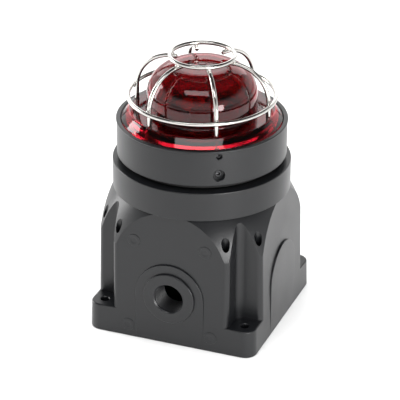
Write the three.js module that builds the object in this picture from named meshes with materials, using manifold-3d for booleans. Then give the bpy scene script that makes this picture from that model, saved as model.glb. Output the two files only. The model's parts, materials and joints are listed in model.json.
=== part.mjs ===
// A flameproof strobe beacon: square cast housing with four feet, a round cover that
// screws on, a red lens with a glass dome under it, and a stainless wire guard.
// Millimetres, +Z up. The origin is the centre of the housing's underside. The cable
// entry faces -Y.

import * as THREE from 'three';
import { mergeVertices } from 'three/addons/utils/BufferGeometryUtils.js';
import Module from 'manifold-3d';

const wasm = await Module();
wasm.setup();

// ---------------------------------------------------------------- driving sizes

const gap = 0.3;                 // between pieces that touch
const runningGap = 0.4;          // between the housing's thread and the cover's
const through = 1;               // how far a cutter runs past the face it opens

// Housing
const baseSide = 140;
const baseCornerRadius = 10;
const draftAngle = THREE.MathUtils.degToRad(1.2);
const footHeight = 23;
const pocketSide = 21.5;         // square recess above each foot
const pocketFillet = 6;
const panelEdgeRadius = 4.5;
const collarBottom = 111;
const collarHeight = 23.4;
const collarProud = 0.3;         // the collar stands this far out of the flat sides
const archHidden = 1.3;          // of each panel's arch, behind the collar
const spigotWall = 6;
const floorThickness = 10;
const mountingHoleRadius = 3.4;
const shoulderHoleRadius = 3.1;
const shoulderHoleDepth = 13;
const shoulderHoleFromPocket = 4;
const shoulderHoleFromFace = 6;
const shoulderHoleLean = THREE.MathUtils.degToRad(15); // outwards, from upright

// Cable entries and the arched pad that each side has
const entryHeight = 41;
const entryRadius = 11.7;
const entryChamfer = 0.9;
const entryBossMargin = 9.6;     // round boss that an entry opens in
const entryBossProud = 2;
const padMargin = 7.2;           // from the boss's edge to the pad's
const plugHeadMargin = 4.3;      // of the plug's head over the entry
const plugHeadThickness = 5;
const plugSocketRadius = 5.8;
const plugSocketDepth = 9;
const plugLength = 14;
const plugSealThickness = 1.6;
const plugSealInset = 1;         // from the edge of the plug's head

// Cover and its thread
const coverInset = 3.2;          // of the cover from the flat sides
const coverWall = 8.8;
const spigotHeight = 17.6;
const sealThickness = 3.5;
const sealWidth = 3.2;
const coverHeight = 29.4;
const coverLipProud = 0.5;
const coverLipHeight = 1.6;
const coverEdgeChamfer = 1.2;
const rimThickness = 3.4;
const rimDepth = 2.6;            // from the rim down to the lens seat
const glassSeatBelowRim = 11;
const shelfClearance = 0.6;      // above the spigot
const shelfOpeningClearance = 3.2;

// Glass dome and red lens
const glassFlangeWidth = 11.2;
const glassFlangeThickness = 3.7;
const glassClearance = 2;        // between the glass and the lens
const glassTopClearance = 3.8;
const glassWall = 4;
const retainerHeight = 3;
const retainerClearance = 1;     // round the glass
const lensWall = 2.6;
const lensEdgeHeight = 1.4;
const lensSlopeWidth = 6.4;      // where the flange slopes down to the rim
const lensDeckHeight = 6.8;      // of the flange above the rim
const lensDeckWidth = 13.6;
const lensHeight = 43.4;         // above the rim
const lensCrownRadius = 24.5;
const lensNubRadius = 3;
const lensNubHeight = 0.8;
const gasketThickness = 0.6;
const gasketWidth = 5.6;

// Wire guard
const wireDiameter = 3.4;
const guardTopRingRadius = 25.2;
const guardTopClearance = 6.1;   // between the lens and the top ring
const guardMiddleRingRise = 18.4; // above the rim
const guardLegInset = 3.2;       // from the edge of the lens deck
const guardLegCount = 6;
const guardLegStart = THREE.MathUtils.degToRad(-57.5);
const guardLegStub = 4.5;        // how far a leg reaches in past the top ring
const guardSocketDepth = 9;
const guardScrewRadius = 2;
const guardScrewLength = 8;
const guardScrewBelowRim = 4.8;

// Cover locking screw
const lockScrewRise = 8.8;       // above the cover's lower edge
const lockRecessRadius = 4.5;
const lockRecessDepth = 3.8;
const lockScrewRadius = 2.8;
const screwSocketShare = 0.5;    // socket radius over screw radius

// Boards, lamp and their supports
const boardThickness = 1.6;
const boardClearance = 5;        // between a board and the wall round it
const powerBoardRise = 7;        // above the floor
const terminalBoardDrop = 19;    // below the collar
const lampBoardRise = 3;         // above the glass seat
const pillarRadius = 3;
const pillarHeadRadius = 2.4;
const pillarHeadHeight = 1.8;
const pillarInset = 8;           // from the edge of the board
const capacitorRadius = 11;
const capacitorHeight = 46;
const capacitorPitch = 26;
const transformerSize = [30, 24, 26];
const transformerPitch = 14;
const triggerCoilRadius = 7;
const triggerCoilHeight = 18;
const terminalWays = 4;
const terminalPitch = 9;
const terminalDepth = 15;
const terminalClearance = 2;     // from the nearest lamp pillar
const terminalHeight = 15;
const terminalScrewRadius = 2.2;
const terminalScrewHeight = 3;
const terminalWireRadius = 2;
const reflectorNeckRadius = 12;
const reflectorHeight = 9;
const reflectorWall = 1.4;
const lampBaseRadius = 10.5;
const lampBaseHeight = 11;
const tubeRadius = 3;
const tubeSpread = 10;           // between the two legs of the flash tube
const tubeTopClearance = 3;

// Earth terminal on the rear face
const earthOffset = 42;
const earthHeight = 12;
const earthBossRadius = 8;
const earthBossProud = 1.5;
const earthWasherRadius = 6.4;
const earthWasherThickness = 1.6;
const earthScrewRadius = 2.9;
const earthScrewHeadRadius = 5;
const earthScrewHeadHeight = 3.6;
const earthScrewDepth = 7;

// Facets of round shapes
const largeFacets = 40;
const mediumFacets = 24;
const smallFacets = 12;
const wireFacets = 8;
const edgeFacets = 6;            // along a rounded edge of an outline
const shoulderSteps = 5;         // up the shoulder
const domeSteps = 6;             // along the glass dome's quarter circle
const crownSteps = 5;            // along the lens's crown
const bendSteps = 8;             // round a wire or tube bend

// ---------------------------------------------------------------- sizes that follow

const halfSide = baseSide / 2;
const pocketInner = halfSide - pocketSide;
const collarTop = collarBottom + collarHeight;
const entryBossRadius = entryRadius + entryBossMargin;
const padRadius = entryBossRadius + padMargin;
const entryFace = halfSide + entryBossProud;
const plugHeadRadius = entryRadius + plugHeadMargin;
const collarRadius = halfSide + collarProud;
const coverRadius = halfSide - coverInset;
const spigotRadius = coverRadius - coverWall;
const cavityRadius = spigotRadius - spigotWall;
const spigotTop = collarTop + spigotHeight;
const sealBottom = collarTop + gap;
const coverBottom = sealBottom + sealThickness + gap;
const coverTop = coverBottom + coverHeight;
const threadRadius = spigotRadius + runningGap;
const shelfBottom = spigotTop + shelfClearance;
const rimInnerRadius = coverRadius - rimThickness;
const lensSeat = coverTop - rimDepth;
const glassSeat = coverTop - glassSeatBelowRim;
const lensTop = coverTop + lensHeight;
const lensDeckRadius = rimInnerRadius - lensSlopeWidth;
const lensRadius = lensDeckRadius - lensDeckWidth;
const glassRadius = lensRadius - lensWall - glassClearance;
const glassTop = lensTop - lensWall - glassTopClearance;
const glassFlangeRadius = glassRadius + glassFlangeWidth;
const glassBoreRadius = glassFlangeRadius + 2 * gap;
const shelfOpeningRadius = glassRadius + shelfOpeningClearance;
const gasketBottom = lensSeat + gap;
const lensBottom = gasketBottom + gasketThickness + gap;
const lensEdgeRadius = rimInnerRadius - gap;
const lensDeck = coverTop + lensDeckHeight;
const guardLegRadius = lensDeckRadius - guardLegInset;
const guardMiddleRingRadius = guardLegRadius + wireDiameter + gap;
const guardMiddleRingHeight = coverTop + guardMiddleRingRise;
const guardTopRingHeight = lensTop + guardTopClearance + wireDiameter / 2;
const guardLegTop = guardTopRingHeight - wireDiameter - gap;
const guardSocketRadius = wireDiameter / 2 + gap;
const guardSocketBottom = lensSeat - guardSocketDepth;
const guardBendRadius = guardLegTop - guardMiddleRingHeight;
const padDepth = halfSide - cavityRadius;
const lockScrewHeight = coverBottom + lockScrewRise;
const powerBoardRadius = cavityRadius - boardClearance;
const powerBoardHeight = floorThickness + powerBoardRise;
const terminalBoardHeight = collarBottom - terminalBoardDrop;
const lampBoardRadius = glassRadius - glassWall - boardClearance;
const lampBoardHeight = glassSeat + lampBoardRise;
const lowerPillarPitch = powerBoardRadius - pillarInset;
const lampPillarPitch = lampBoardRadius - pillarInset;

// ---------------------------------------------------------------- materials

const finishes = {
  casting: { color: 0x2b2c2e, roughness: 0.45, metalness: 0.2 },
  lens: { color: 0x7a1020, roughness: 0.08, metalness: 0, transparent: true, opacity: 0.75 },
  glass: { color: 0xdfe8ea, roughness: 0.03, metalness: 0, transparent: true, opacity: 0.35 },
  stainless: { color: 0xc9cbcc, roughness: 0.22, metalness: 1 },
  rubber: { color: 0x121212, roughness: 0.8, metalness: 0 },
  board: { color: 0x1f5a33, roughness: 0.5, metalness: 0 },
  ceramic: { color: 0xe6e1d6, roughness: 0.6, metalness: 0 },
  sleeve: { color: 0x1c2c4a, roughness: 0.4, metalness: 0 },
  copper: { color: 0xa86a3c, roughness: 0.4, metalness: 0.9 },
  reflector: { color: 0xe3e5e7, roughness: 0.12, metalness: 1 },
  brass: { color: 0xb8a060, roughness: 0.35, metalness: 1 },
};

const beacon = new THREE.Group();

function place(name, finish, shape) {
  const geometry = shape instanceof wasm.Manifold ? toGeometry(shape) : shape;
  const mesh = new THREE.Mesh(geometry, new THREE.MeshStandardMaterial(finishes[finish]));
  mesh.name = name;
  beacon.add(mesh);
  return mesh;
}

// ---------------------------------------------------------------- solids

function toSolid(geometry) {
  const plain = geometry.clone();
  plain.deleteAttribute('normal');
  plain.deleteAttribute('uv');
  const merged = mergeVertices(plain, 1e-4);
  return new wasm.Manifold(new wasm.Mesh({
    numProp: 3,
    vertProperties: new Float32Array(merged.attributes.position.array),
    triVerts: new Uint32Array(merged.index.array),
  }));
}

function toGeometry(solid) {
  const mesh = solid.getMesh();
  const geometry = new THREE.BufferGeometry();
  geometry.setAttribute('position', new THREE.BufferAttribute(mesh.vertProperties, 3));
  geometry.setIndex(new THREE.BufferAttribute(mesh.triVerts, 1));
  geometry.computeVertexNormals();
  return geometry;
}

// A body of revolution about Z from [radius, height] pairs. A profile that starts and
// ends on the axis makes a solid; any other is closed into a ring.
function revolve(profile, facets = largeFacets) {
  const points = profile.map(([radius, height]) => new THREE.Vector2(radius, height));
  const onAxis = profile[0][0] === 0 && profile.at(-1)[0] === 0;
  if (!onAxis) points.push(points[0].clone());
  const geometry = new THREE.LatheGeometry(points, facets);
  geometry.rotateX(Math.PI / 2);
  return toSolid(geometry);
}

// Points on an arc as [radius, height] pairs. The angles are in degrees from outward.
function arcPoints(cx, cz, radius, from, to, steps) {
  return Array.from({ length: steps + 1 }, (_, i) => {
    const angle = THREE.MathUtils.degToRad(from + (to - from) * i / steps);
    return [cx + radius * Math.cos(angle), cz + radius * Math.sin(angle)];
  });
}

function disc(radius, bottom, top, facets = mediumFacets) {
  return revolve([[0, bottom], [radius, bottom], [radius, top], [0, top]], facets);
}

function ring(inner, outer, bottom, top, facets = largeFacets) {
  return revolve([[inner, bottom], [outer, bottom], [outer, top], [inner, top]], facets);
}

function turn(solid, angle) {
  return solid.rotate([0, 0, THREE.MathUtils.radToDeg(angle)]);
}

// Lays a piece made along +Z so that it points out along -Y from the given height.
function faceFront(solid, height) {
  return solid.rotate([90, 0, 0]).translate([0, 0, height]);
}

// Lays a piece made along +Z so that it points out along the given plan angle.
function faceOut(solid, angle, height) {
  return turn(solid.rotate([0, 90, 0]), angle).translate([0, 0, height]);
}

function atAngle(radius, angle, height) {
  return [radius * Math.cos(angle), radius * Math.sin(angle), height];
}

function prism(shape, bottom, top, curveSegments = edgeFacets) {
  const geometry = new THREE.ExtrudeGeometry(shape, {
    depth: top - bottom, bevelEnabled: false, curveSegments,
  });
  geometry.translate(0, 0, bottom);
  return geometry;
}

// Draws a prism's sides in towards the axis as they rise, as a casting's draft does.
function drafted(geometry) {
  const position = geometry.attributes.position;
  for (let i = 0; i < position.count; i += 1) {
    const scale = 1 - position.getZ(i) * Math.tan(draftAngle) / halfSide;
    position.setXY(i, position.getX(i) * scale, position.getY(i) * scale);
  }
  return toSolid(geometry);
}

function block(size, centre) {
  const geometry = new THREE.BoxGeometry(...size);
  geometry.translate(...centre);
  return toSolid(geometry);
}

// ---------------------------------------------------------------- housing

const cornerAngles = [45, 135, 225, 315].map(THREE.MathUtils.degToRad);
const sideAngles = [0, 90, 180, 270].map(THREE.MathUtils.degToRad);

function baseOutline() {
  const shape = new THREE.Shape();
  const straight = halfSide - baseCornerRadius;
  shape.moveTo(-straight, -halfSide);
  for (const angle of sideAngles) {
    const cx = Math.SQRT2 * straight * Math.cos(angle - Math.PI / 4);
    const cy = Math.SQRT2 * straight * Math.sin(angle - Math.PI / 4);
    shape.absarc(cx, cy, baseCornerRadius, angle - Math.PI / 2, angle, false);
  }
  shape.closePath();
  return shape;
}

// The plan of the four tall panels: a square with a square notch at each corner.
function panelOutline() {
  const shape = new THREE.Shape();
  const reach = halfSide;
  const edge = panelEdgeRadius;
  const fillet = pocketFillet;
  const start = pocketInner - edge;
  shape.moveTo(reach, -start);
  for (const angle of sideAngles) {
    const local = (x, y) => [
      x * Math.cos(angle) - y * Math.sin(angle),
      x * Math.sin(angle) + y * Math.cos(angle),
    ];
    shape.absarc(...local(reach - edge, start), edge, angle, angle + Math.PI / 2, false);
    shape.absarc(...local(pocketInner + fillet, pocketInner + fillet), fillet,
      angle - Math.PI / 2, angle - Math.PI, true);
    shape.absarc(...local(start, reach - edge), edge, angle, angle + Math.PI / 2, false);
  }
  shape.closePath();
  return shape;
}

// The shoulder is a ball. A flat panel meets it in a half circle as wide as the panel.
const shoulderCentre = collarBottom + archHidden - pocketInner;
const shoulderRadius = Math.hypot(halfSide - collarBottom * Math.tan(draftAngle), pocketInner);

function shoulderHeightAt(distance) {
  return shoulderCentre + Math.sqrt(shoulderRadius ** 2 - distance ** 2);
}

function shoulderBall() {
  const top = Math.asin((collarBottom - shoulderCentre) / shoulderRadius);
  return revolve([
    [0, 0],
    [shoulderRadius, 0],
    ...arcPoints(0, shoulderCentre, shoulderRadius, 0, THREE.MathUtils.radToDeg(top),
      shoulderSteps),
    [0, collarBottom],
  ]);
}

// The arched pad on each side stays upright while the panel behind it leans in.
function padOutline() {
  const shape = new THREE.Shape();
  shape.moveTo(-padRadius, 0);
  shape.lineTo(padRadius, 0);
  shape.absarc(0, entryHeight, padRadius, 0, Math.PI, false);
  shape.closePath();
  return shape;
}

function pad() {
  const geometry = prism(padOutline(), halfSide - padDepth, halfSide, mediumFacets);
  geometry.rotateX(Math.PI / 2);
  return toSolid(geometry);
}

function entryBoss() {
  return faceFront(disc(entryBossRadius, cavityRadius, entryFace), entryHeight);
}

function entryCutter() {
  const mouth = entryRadius + entryChamfer;
  return faceFront(revolve([
    [0, cavityRadius / 2],
    [entryRadius, cavityRadius / 2],
    [entryRadius, entryFace - entryChamfer],
    [mouth, entryFace],
    [mouth, entryFace + through],
    [0, entryFace + through],
  ], mediumFacets), entryHeight);
}

// A blind hole in the shoulder, drilled from outside, leaning out from upright.
function shoulderHole(x, y) {
  const distance = Math.hypot(x, y);
  const hole = disc(shoulderHoleRadius, -shoulderHoleDepth, shoulderHoleDepth, smallFacets)
    .rotate([0, THREE.MathUtils.radToDeg(shoulderHoleLean), 0])
    .translate([distance, 0, shoulderHeightAt(distance)]);
  return turn(hole, Math.atan2(y, x));
}

function housing() {
  let body = drafted(prism(panelOutline(), 0, collarBottom)).intersect(shoulderBall());
  body = body.add(drafted(prism(baseOutline(), 0, footHeight)));
  for (const angle of sideAngles) body = body.add(turn(pad(), angle));
  for (const angle of [0, Math.PI]) body = body.add(turn(entryBoss(), angle));
  body = body.add(disc(collarRadius, collarBottom - gap, collarTop, largeFacets));
  body = body.add(disc(spigotRadius, collarTop - through, spigotTop, largeFacets));
  body = body.subtract(disc(cavityRadius, floorThickness, spigotTop + through, largeFacets));
  for (const angle of [0, Math.PI]) body = body.subtract(turn(entryCutter(), angle));
  const footCentre = halfSide - pocketSide / 2;
  for (const angle of cornerAngles) {
    const hole = disc(mountingHoleRadius, -through, footHeight + through, smallFacets);
    body = body.subtract(hole.translate(atAngle(footCentre * Math.SQRT2, angle, 0)));
  }
  const near = pocketInner - shoulderHoleFromPocket;
  const far = halfSide - shoulderHoleFromFace;
  for (const signX of [-1, 1]) {
    for (const signY of [-1, 1]) {
      body = body.subtract(shoulderHole(signX * near, signY * far));
      body = body.subtract(shoulderHole(signX * far, signY * near));
    }
  }
  const bossFace = halfSide + earthBossProud;
  const boss = faceFront(disc(earthBossRadius, cavityRadius, bossFace), earthHeight);
  const tapped = faceFront(disc(earthScrewRadius + gap, bossFace - earthScrewDepth - gap,
    bossFace + through, smallFacets), earthHeight);
  body = body.add(turn(boss, Math.PI).translate([earthOffset, 0, 0]));
  return body.subtract(turn(tapped, Math.PI).translate([earthOffset, 0, 0]));
}

place('housing', 'casting', housing());

// ---------------------------------------------------------------- earth terminal

function earthTerminal() {
  const face = halfSide + earthBossProud;
  const washerOut = face + gap + earthWasherThickness;
  const headIn = washerOut + gap;
  const atRear = (solid) => turn(faceFront(solid, earthHeight), Math.PI)
    .translate([earthOffset, 0, 0]);
  place('earth_washer', 'brass', atRear(ring(earthScrewRadius + gap, earthWasherRadius,
    face + gap, washerOut, smallFacets)));
  const headTop = headIn + earthScrewHeadHeight;
  place('earth_screw', 'stainless', atRear(revolve([
    [0, face - earthScrewDepth],
    [earthScrewRadius, face - earthScrewDepth],
    [earthScrewRadius, headIn],
    [earthScrewHeadRadius, headIn],
    [earthScrewHeadRadius, headTop],
    [0, headTop],
  ], smallFacets)));
}

earthTerminal();

// ---------------------------------------------------------------- stopping plug

function stoppingPlug() {
  const headIn = entryFace + gap + plugSealThickness + gap;
  const headOut = headIn + plugHeadThickness;
  const atRear = (solid) => turn(faceFront(solid, entryHeight), Math.PI);
  place('plug_seal', 'rubber', atRear(ring(entryRadius + entryChamfer + gap,
    plugHeadRadius - plugSealInset, entryFace + gap, headIn - gap, mediumFacets)));
  place('stopping_plug', 'stainless', atRear(revolve([
    [0, entryFace - plugLength],
    [entryRadius - gap, entryFace - plugLength],
    [entryRadius - gap, headIn],
    [plugHeadRadius, headIn],
    [plugHeadRadius, headOut],
    [plugSocketRadius, headOut],
    [plugSocketRadius, headOut - plugSocketDepth],
    [0, headOut - plugSocketDepth],
  ], mediumFacets)));
}

stoppingPlug();

// ---------------------------------------------------------------- cover

const guardLegAngles = Array.from({ length: guardLegCount },
  (_, i) => guardLegStart + i * 2 * Math.PI / guardLegCount);
const guardScrewAngles = guardLegAngles.filter((_, i) => i % 2 === 0);
const guardScrewHeight = coverTop - guardScrewBelowRim;
const guardScrewInner = guardLegRadius + wireDiameter / 2 + gap;

function cover() {
  const lipRadius = coverRadius + coverLipProud;
  const lipBottom = coverTop - coverLipHeight;
  let body = revolve([
    [threadRadius, coverBottom],
    [coverRadius - coverEdgeChamfer, coverBottom],
    [coverRadius, coverBottom + coverEdgeChamfer],
    [coverRadius, lipBottom],
    [lipRadius, lipBottom + coverLipProud],
    [lipRadius, coverTop - coverLipProud],
    [lipRadius - coverLipProud, coverTop],
    [rimInnerRadius, coverTop],
    [rimInnerRadius, lensSeat],
    [glassBoreRadius, lensSeat],
    [glassBoreRadius, glassSeat],
    [shelfOpeningRadius, glassSeat],
    [shelfOpeningRadius, shelfBottom],
    [threadRadius, shelfBottom],
  ]);
  for (const angle of guardLegAngles) {
    const socket = disc(guardSocketRadius, guardSocketBottom, coverTop, smallFacets);
    body = body.subtract(socket.translate(atAngle(guardLegRadius, angle, 0)));
  }
  for (const angle of guardScrewAngles) {
    const hole = disc(guardScrewRadius + gap, guardLegRadius, coverRadius + through,
      smallFacets);
    body = body.subtract(faceOut(hole, angle, guardScrewHeight));
  }
  const recess = disc(lockRecessRadius, coverRadius - lockRecessDepth,
    coverRadius + through, smallFacets);
  const tapped = disc(lockScrewRadius + gap, threadRadius - through, coverRadius,
    smallFacets);
  body = body.subtract(faceOut(recess, guardLegStart, lockScrewHeight));
  return body.subtract(faceOut(tapped, guardLegStart, lockScrewHeight));
}

// A headless screw along +Z with a round drive socket in its outer end.
function grubScrew(radius, inner, outer) {
  const socket = radius * screwSocketShare;
  const socketBottom = outer - radius;
  return revolve([[0, inner], [radius, inner], [radius, outer], [socket, outer],
    [socket, socketBottom], [0, socketBottom]], smallFacets);
}

place('cover', 'casting', cover());
place('cover_seal', 'rubber', ring(spigotRadius + runningGap,
  spigotRadius + runningGap + sealWidth, sealBottom, sealBottom + sealThickness));
place('cover_lock_screw', 'stainless', faceOut(grubScrew(lockScrewRadius,
  threadRadius + gap, coverRadius - lockRecessDepth), guardLegStart, lockScrewHeight));

guardScrewAngles.forEach((angle, i) => {
  const screw = grubScrew(guardScrewRadius, guardScrewInner,
    guardScrewInner + guardScrewLength);
  place(`guard_screw_${i + 1}`, 'stainless', faceOut(screw, angle, guardScrewHeight));
});

// ---------------------------------------------------------------- glass dome


function glassDome() {
  const inner = glassRadius - glassWall;
  const springing = glassTop - glassRadius;
  const flangeBottom = glassSeat + gap;
  const outside = arcPoints(0, springing, glassRadius, 0, 90, domeSteps);
  const inside = arcPoints(0, springing, inner, 90, 0, domeSteps);
  outside[outside.length - 1][0] = 0;
  inside[0][0] = 0;
  return revolve([
    ...inside.slice(0, -1),
    [inner, springing],
    [inner, flangeBottom],
    [glassFlangeRadius, flangeBottom],
    [glassFlangeRadius, flangeBottom + glassFlangeThickness],
    [glassRadius, flangeBottom + glassFlangeThickness],
    ...outside,
  ]);
}

const retainerBottom = glassSeat + gap + glassFlangeThickness + gap;
place('glass_dome', 'glass', glassDome());
place('glass_retainer', 'stainless', ring(glassRadius + retainerClearance, glassBoreRadius - gap,
  retainerBottom, retainerBottom + retainerHeight));

// ---------------------------------------------------------------- red lens

function lens() {
  const crown = lensCrownRadius;
  const crownCentre = [lensRadius - crown, lensTop - crown];
  const innerRadius = lensRadius - lensWall;
  const outside = arcPoints(...crownCentre, crown, 0, 90, crownSteps);
  const inside = arcPoints(...crownCentre, crown - lensWall, 90, 0, crownSteps);
  const edgeTop = lensBottom + lensEdgeHeight;
  let body = revolve([
    [0, lensTop - lensWall],
    ...inside,
    [innerRadius, lensDeck - lensWall],
    [lensDeckRadius - lensWall, lensDeck - lensWall],
    [lensDeckRadius - lensWall, lensBottom],
    [lensEdgeRadius, lensBottom],
    [lensEdgeRadius, edgeTop],
    [lensDeckRadius, lensDeck],
    [lensRadius, lensDeck],
    ...outside,
    [lensNubRadius, lensTop],
    [lensNubRadius, lensTop + lensNubHeight],
    [0, lensTop + lensNubHeight],
  ]);
  for (const angle of guardLegAngles) {
    const hole = disc(guardSocketRadius, lensSeat, lensDeck + through, smallFacets);
    body = body.subtract(hole.translate(atAngle(guardLegRadius, angle, 0)));
  }
  return body;
}

place('lens', 'lens', lens());
place('lens_gasket', 'rubber', ring(lensEdgeRadius - gasketWidth, lensEdgeRadius,
  gasketBottom, gasketBottom + gasketThickness));

// ---------------------------------------------------------------- wire guard

function wireRing(radius, height) {
  const section = arcPoints(radius, height, wireDiameter / 2, 0, 360, wireFacets);
  return revolve(section.slice(0, -1));
}

// One leg: in past the top ring, over the bend and straight down into its socket.
class GuardLegPath extends THREE.CurvePath {
  constructor() {
    super();
    const bend = guardBendRadius;
    const outer = guardLegRadius;
    const stub = guardTopRingRadius - guardLegStub;
    const foot = guardSocketBottom + gap;
    const at = (x, z) => new THREE.Vector3(x, 0, z);
    const steps = arcPoints(outer - bend, guardMiddleRingHeight, bend, 90, 0, bendSteps);
    this.add(new THREE.LineCurve3(at(stub, guardLegTop), at(...steps[0])));
    for (let i = 1; i < steps.length; i += 1) {
      this.add(new THREE.LineCurve3(at(...steps[i - 1]), at(...steps[i])));
    }
    this.add(new THREE.LineCurve3(at(...steps.at(-1)), at(outer, foot)));
  }
}

// A round wire swept along a path in the XZ plane.
function sweptWire(points, radius, facets) {
  const positions = [];
  const index = [];
  points.forEach((point, i) => {
    const before = points[Math.max(i - 1, 0)];
    const after = points[Math.min(i + 1, points.length - 1)];
    const along = after.clone().sub(before).normalize();
    const across = new THREE.Vector3(0, 1, 0);
    const up = new THREE.Vector3().crossVectors(along, across);
    for (let k = 0; k < facets; k += 1) {
      const angle = 2 * Math.PI * k / facets;
      const at = point.clone()
        .addScaledVector(across, radius * Math.cos(angle))
        .addScaledVector(up, radius * Math.sin(angle));
      positions.push(at.x, at.y, at.z);
    }
  });
  const rings = points.length;
  for (let i = 0; i < rings - 1; i += 1) {
    for (let k = 0; k < facets; k += 1) {
      const a = i * facets + k;
      const b = i * facets + (k + 1) % facets;
      index.push(a, b, a + facets, b, b + facets, a + facets);
    }
  }
  const last = (rings - 1) * facets;
  for (let k = 1; k < facets - 1; k += 1) {
    index.push(0, k + 1, k);
    index.push(last, last + k, last + k + 1);
  }
  const geometry = new THREE.BufferGeometry();
  geometry.setAttribute('position', new THREE.Float32BufferAttribute(positions, 3));
  geometry.setIndex(index);
  geometry.computeVertexNormals();
  return geometry;
}

function guardLeg() {
  const path = new GuardLegPath();
  const points = [path.curves[0].v1, ...path.curves.map((curve) => curve.v2)];
  return toSolid(sweptWire(points, wireDiameter / 2, wireFacets));
}

place('guard_top_ring', 'stainless', wireRing(guardTopRingRadius, guardTopRingHeight));
place('guard_middle_ring', 'stainless',
  wireRing(guardMiddleRingRadius, guardMiddleRingHeight));
guardLegAngles.forEach((angle, i) => {
  place(`guard_leg_${i + 1}`, 'stainless', turn(guardLeg(), angle));
});

// ---------------------------------------------------------------- boards and pillars

function board(radius, height, holePitch, holeAngles) {
  let plate = disc(radius, height, height + boardThickness, mediumFacets);
  for (const angle of holeAngles) {
    const hole = disc(pillarHeadRadius, height - through,
      height + boardThickness + through, smallFacets);
    plate = plate.subtract(hole.translate(atAngle(holePitch, angle, 0)));
  }
  return plate;
}

// A pillar stands between two faces; a thinner neck passes up through the board.
function pillar(bottom, shoulder, neckTop) {
  return revolve([
    [0, bottom], [pillarRadius, bottom], [pillarRadius, shoulder],
    [pillarHeadRadius - gap, shoulder], [pillarHeadRadius - gap, neckTop], [0, neckTop],
  ], smallFacets);
}

const lampPillarAngles = [30, 150, 270].map(THREE.MathUtils.degToRad);
const powerBoardTop = powerBoardHeight + boardThickness;
const terminalBoardTop = terminalBoardHeight + boardThickness;
const lampBoardTop = lampBoardHeight + boardThickness;

place('power_board', 'board', board(powerBoardRadius, powerBoardHeight,
  lowerPillarPitch, cornerAngles));
place('terminal_board', 'board', board(powerBoardRadius, terminalBoardHeight,
  lowerPillarPitch, cornerAngles));
place('lamp_board', 'board', board(lampBoardRadius, lampBoardHeight,
  lampPillarPitch, lampPillarAngles));

cornerAngles.forEach((angle, i) => {
  const spot = atAngle(lowerPillarPitch, angle, 0);
  place(`floor_pillar_${i + 1}`, 'brass', pillar(floorThickness + gap,
    powerBoardHeight - gap, powerBoardTop - gap).translate(spot));
  place(`board_pillar_${i + 1}`, 'brass', pillar(powerBoardTop + gap,
    terminalBoardHeight - gap, terminalBoardTop + pillarHeadHeight).translate(spot));
});
lampPillarAngles.forEach((angle, i) => {
  place(`lamp_pillar_${i + 1}`, 'brass', pillar(terminalBoardTop + gap,
    lampBoardHeight - gap, lampBoardTop - gap)
    .translate(atAngle(lampPillarPitch, angle, 0)));
});

// ---------------------------------------------------------------- circuit parts

[0, 180].map(THREE.MathUtils.degToRad).forEach((angle, i) => {
  place(`flash_capacitor_${i + 1}`, 'sleeve', disc(capacitorRadius, powerBoardTop + gap,
    powerBoardTop + gap + capacitorHeight).translate(atAngle(capacitorPitch, angle, 0)));
});

place('transformer', 'copper', block(transformerSize,
  [0, transformerPitch + transformerSize[1] / 2 - gap,
    powerBoardTop + gap + transformerSize[2] / 2]));
place('trigger_coil', 'copper', disc(triggerCoilRadius, terminalBoardTop + gap,
  terminalBoardTop + gap + triggerCoilHeight).translate([0, terminalDepth, 0]));

const terminalBottom = terminalBoardTop + gap;
const terminalTop = terminalBottom + terminalHeight;
const terminalPlace = -(lampPillarPitch + pillarRadius + terminalClearance + terminalDepth / 2);
const terminalX = Array.from({ length: terminalWays },
  (_, i) => (i - (terminalWays - 1) / 2) * terminalPitch);

function terminalBlock() {
  let body = block([terminalWays * terminalPitch, terminalDepth, terminalHeight],
    [0, terminalPlace, (terminalBottom + terminalTop) / 2]);
  for (const x of terminalX) {
    const well = disc(terminalScrewRadius + gap, terminalTop - terminalScrewHeight - gap,
      terminalTop + through, smallFacets);
    const wireHole = faceFront(disc(terminalWireRadius, -terminalPlace,
      -terminalPlace + terminalDepth, smallFacets), terminalBottom + terminalHeight / 3);
    body = body.subtract(well.translate([x, terminalPlace, 0]));
    body = body.subtract(wireHole.translate([x, 0, 0]));
  }
  return body;
}

place('terminal_block', 'ceramic', terminalBlock());
terminalX.forEach((x, i) => {
  place(`terminal_screw_${i + 1}`, 'brass', disc(terminalScrewRadius,
    terminalTop - terminalScrewHeight, terminalTop - gap, smallFacets)
    .translate([x, terminalPlace, 0]));
});

// ---------------------------------------------------------------- lamp

const lampBaseBottom = lampBoardTop + gap;
const lampBaseTop = lampBaseBottom + lampBaseHeight;

place('reflector', 'reflector', revolve([
  [reflectorNeckRadius, lampBaseBottom],
  [reflectorNeckRadius + reflectorWall, lampBaseBottom],
  [lampBoardRadius, lampBaseBottom + reflectorHeight - reflectorWall],
  [lampBoardRadius, lampBaseBottom + reflectorHeight],
  [reflectorNeckRadius, lampBaseBottom + reflectorWall],
], mediumFacets));
place('lamp_base', 'ceramic', disc(lampBaseRadius, lampBaseBottom, lampBaseTop));

// The flash tube is a hairpin: two upright legs joined by a half turn.
function flashTube() {
  const half = tubeSpread / 2;
  const bottom = lampBaseTop + gap;
  const top = glassTop - glassWall - tubeTopClearance;
  const springing = top - tubeRadius - half;
  const arc = arcPoints(0, springing, half, 180, 0, bendSteps).map(([x, z]) =>
    new THREE.Vector3(x, 0, z));
  const points = [new THREE.Vector3(-half, 0, bottom), ...arc,
    new THREE.Vector3(half, 0, bottom)];
  return toSolid(sweptWire(points, tubeRadius, wireFacets));
}

place('flash_tube', 'glass', flashTube());

export default beacon;
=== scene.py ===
"""A flameproof strobe beacon: black cast housing, screw-on cover, red lens and wire guard."""

import json
import math

import bmesh
import bpy
from bpy.props import FloatProperty, FloatVectorProperty, IntProperty, PointerProperty
from mathutils import Matrix, Vector


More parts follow.
